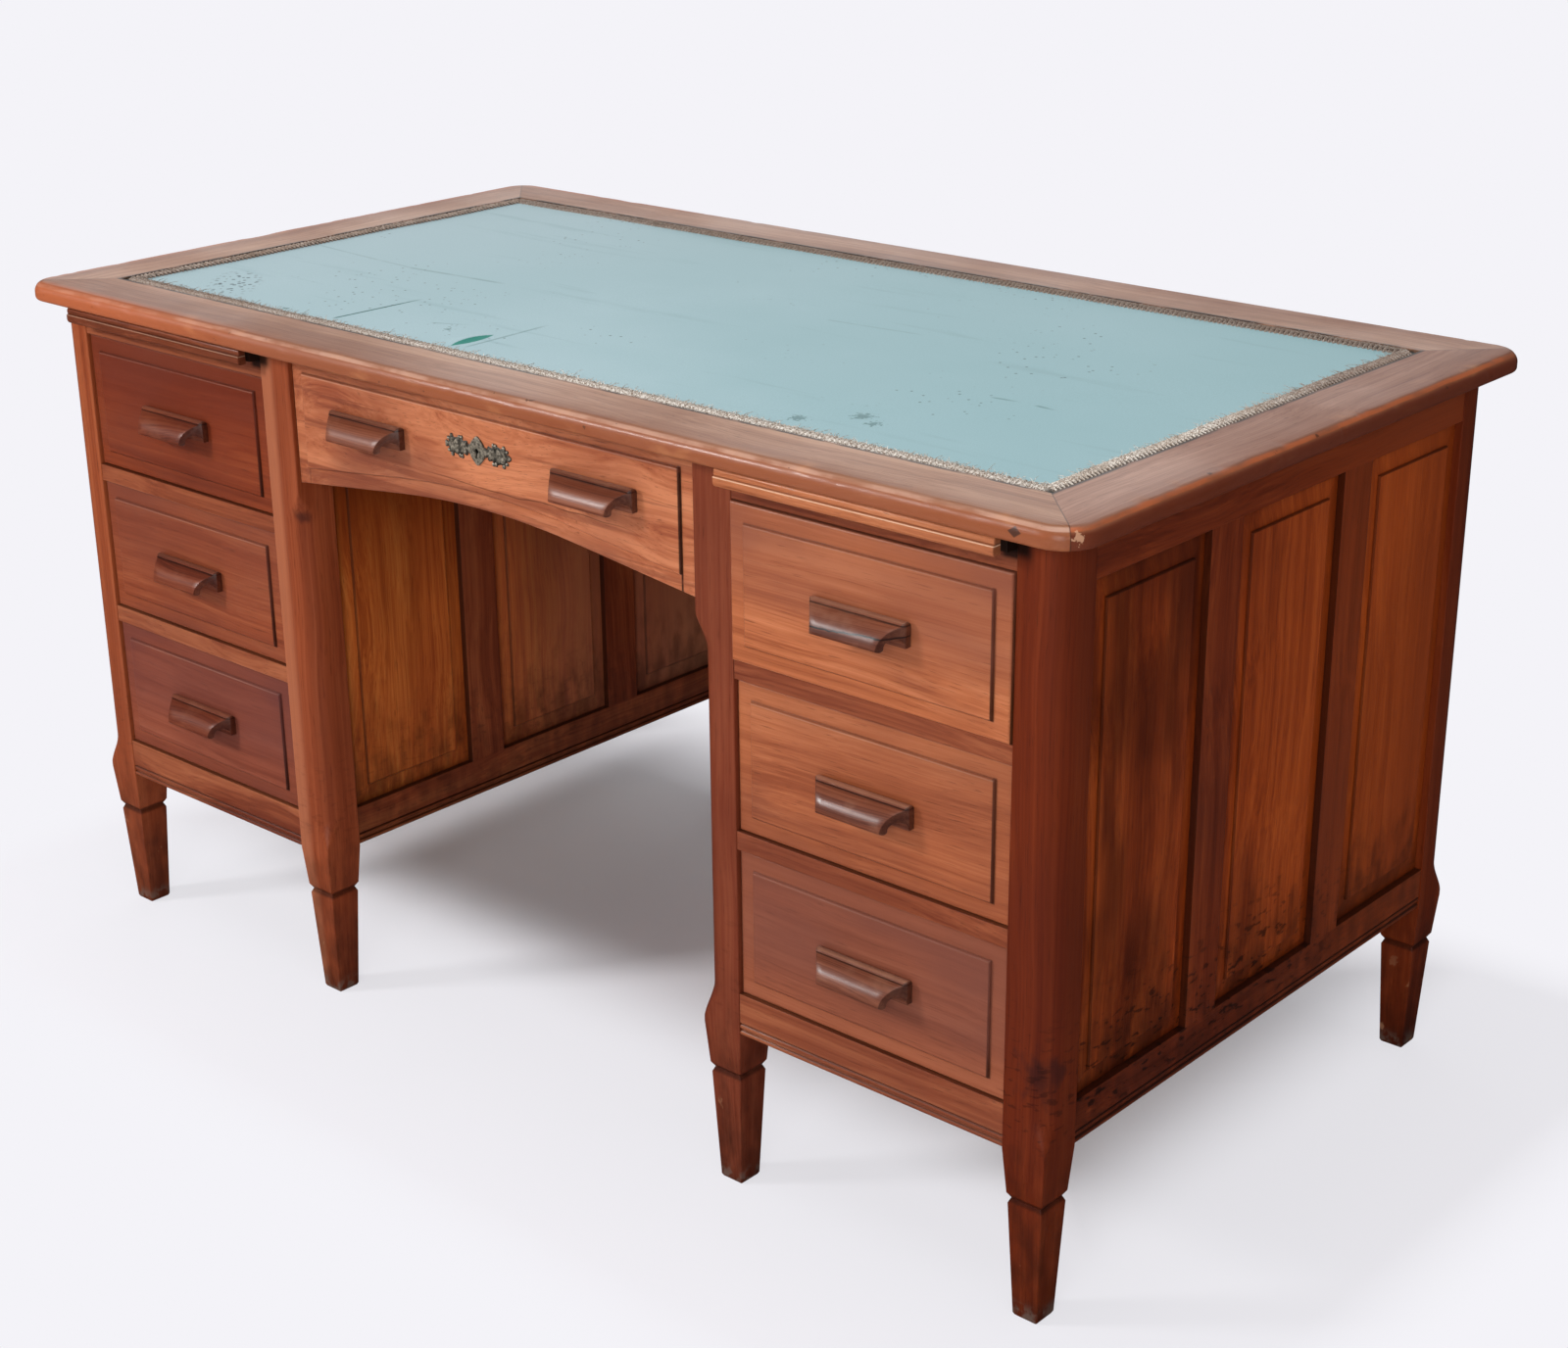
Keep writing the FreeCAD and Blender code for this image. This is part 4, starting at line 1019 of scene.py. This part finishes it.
# The left lip's darker set is painted shade, that lip lying in shadow.
lip_tones = {
    "left": ((96, 44, 24), (122, 60, 36), (144, 80, 50)),
    "right": ((154, 84, 50), (184, 110, 70), (206, 134, 92)),
}


def lip_rings(low, high):
    """The lip's section p, a fascia with a bead above it, carried along X as p + s(x) n. Its last rings are
    drawn in by s along n, the way to the section's middle, for a soft arris."""
    deep, tall = high.y - low.y, high.z - low.z
    fascia = arc_through((0.62, 0), (0.91, 0.09), (1, 0.36), 8)
    bead = arc_through((0.8, 0.64), (0.86, 0.92), (0.45, 1), 10)
    section = np.concatenate([[(0, 0)], fascia, [(1, 0.6)], bead, [(0, 1)]])
    inward = np.array([0.45, 0.5]) - section
    inward = inward / np.linalg.norm(inward, axis=1, keepdims=True)
    ends = np.array([0, 0.0003, 0.001])
    run = np.concatenate([low.x + ends, np.linspace(low.x, high.x, 5)[1:-1], high.x - ends[::-1]])
    shrink = np.array([0.0009, 0.0003, 0, 0, 0, 0, 0, 0.0003, 0.0009])[:, None]
    y = high.y - (section[:, 0] * deep + inward[:, 0] * shrink)
    z = low.z + section[:, 1] * tall + inward[:, 1] * shrink
    return spread(run[:, None], y, z)[:, ::-1]


def lip_marks(at, low, high, rubs_and_highlight):
    """Dull end grain, a painted highlight along the fascia's arris and painted shade in the quirk above it.
    """
    past = abs(at.x - (low.x + high.x) / 2)
    half = (high.x - low.x) / 2
    at.lay(ramp(past, half - 0.0012, half - 0.0002, 0.35), (60, 28, 18))
    level = at.z - (low.z + 0.585 * (high.z - low.z))
    # A painted highlight along the fascia's top arris.
    at.lay(ramp(abs(level), 0.0007, 0.0002, rubs_and_highlight), (250, 214, 182))
    # Painted shade in the quirk above it.
    at.lay(ramp(abs(level - 0.0013), 0.0008, 0.0003, 0.5), (70, 32, 20))


for number, side in enumerate(("left", "right")):
    board, name = side + "_slide_board", side + "_slide_lip"
    low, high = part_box(name)
    high = high.copy()
    high.x -= lip_short
    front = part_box(board)[0].y
    at = wood(board + "_wood", "y", board_tones, 161 + number, rough=0.5, coat=0)
    # Painted shadow: the board blackened beside the lip's end, in the slot.
    corner = ramp(at.x, high.x - 0.004, high.x - 0.001) * ramp(at.y, front + 0.02, front + 0.012)
    at.lay(corner * 0.9, slot_shadow_tone)
    dress(board, at)
    at = wood(name + "_wood", "x", lip_tones[side], 171 + number, figure=30)
    lip_marks(at, low, high, 0.25 if side == "left" else 0.7)
    lip = skin(name + "_shaped", lip_rings(low, high), at, crease=35)
    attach(lip, side + "_writing_slide")
    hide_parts(name)

# The stage: a pale floor, which under the right and front of the desk shows the backdrop's glow as painted
# light, soft light from the front left and front right,
# the glow of a pale wall behind and of a ceiling above, and the camera.
floor_half = 30.0
backdrop = (244, 243, 248)
corners = np.array([(-1, -1, 0), (1, -1, 0), (1, 1, 0), (-1, 1, 0)]) * floor_half
at = Finish("pale_paper")
path = add(at.tree, "LightPath")
paper = mixed(at.noise(6, 2), (240, 239, 245), (246, 245, 250))
at.paint(Base_Color=mixed(path["Is Glossy Ray"], paper, (64, 62, 62)), Roughness=0.9, Specular_IOR_Level=0,
         Emission_Color=(252, 251, 255), Emission_Strength=path["Is Camera Ray"] * 0.02)
beyond = larger(abs(at.x) - top_half_x, abs(at.y) - top_half_y)
# Painted light: under the desk's right part and front the floor shows the backdrop's glow to the camera,
# taking out the shadow there.
near = larger(ramp(at.x, 0.46, 0.68, 0.72), ramp(at.y, -0.02, -0.24, 0.72))
far = path["Is Camera Ray"] * larger(near, ramp(beyond, -0.06, 0.26))
glow = add(at.tree, "Emission", backdrop)
blend = add(at.tree, "MixShader", far, Output(at.shader.outputs[0]), glow)
fill(at.tree.nodes["Material Output"].inputs["Surface"], blend)
floor = shell("floor", corners, [(0, 1, 2, 3)], at)
floor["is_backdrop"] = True

world = bpy.data.worlds.new("studio")
scene.world = world
world.use_nodes = True
tree = world.node_tree
path = add(tree, "LightPath")
strength = path["Is Camera Ray"] * 0.78 + (path["Is Glossy Ray"] * -0.12 + 0.22)
sky = tree.nodes["Background"].inputs
fill(sky["Color"], mixed(path["Is Camera Ray"], (255, 255, 255), backdrop))
fill(sky["Strength"], strength)

aim = np.array([0, 0, 0.45])
lamps = (("left_lamp", (-2.6, -3.2, 2.4), 0.7, 0.7, 100), ("right_lamp", (2.1, -3.4, 1.7), 1.6, 2, 54),
         ("wall_glow", (-3.2, 4.2, 2.2), 6, 3.2, 60), ("ceiling_glow", (0.3, -0.8, 6), 4, 4, 120))
for name, place, wide, tall, power in lamps:
    lamp = bpy.data.lights.new(name, "AREA")
    lamp.shape, lamp.size, lamp.size_y, lamp.energy = "RECTANGLE", wide, tall, power
    holder = bpy.data.objects.new(name, lamp)
    back = np.array(place) - aim
    side = np.cross([0, 0, 1], back)
    up = np.cross(back, side)
    pose = np.eye(4)
    pose[:3, :3] = np.stack([v / np.linalg.norm(v) for v in (side, up, back)], axis=1)
    pose[:3, 3] = place
    holder.matrix_world = pose.T.tolist()
    scene.collection.objects.link(holder)

camera = bpy.data.cameras.new("camera")
camera.sensor_width, camera.lens = 36, 59.1027
camera.shift_x, camera.shift_y = 0.010838, 0.020402
viewer = bpy.data.objects.new("camera", camera)
pose = np.eye(4)
pose[:3, 0] = (0.7465036, 0.665288, -0.0111464)
pose[:3, 1] = (-0.2394396, 0.2842236, 0.9283779)
pose[:3, 2] = (0.6208068, -0.6903686, 0.3714703)
pose[:3, 3] = (1.8278323, -1.9747421 + top_middle_y, 1.4005896)
viewer.matrix_world = pose.T.tolist()
scene.collection.objects.link(viewer)
scene.camera = viewer
scene.view_settings.view_transform = "Standard"

low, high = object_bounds()
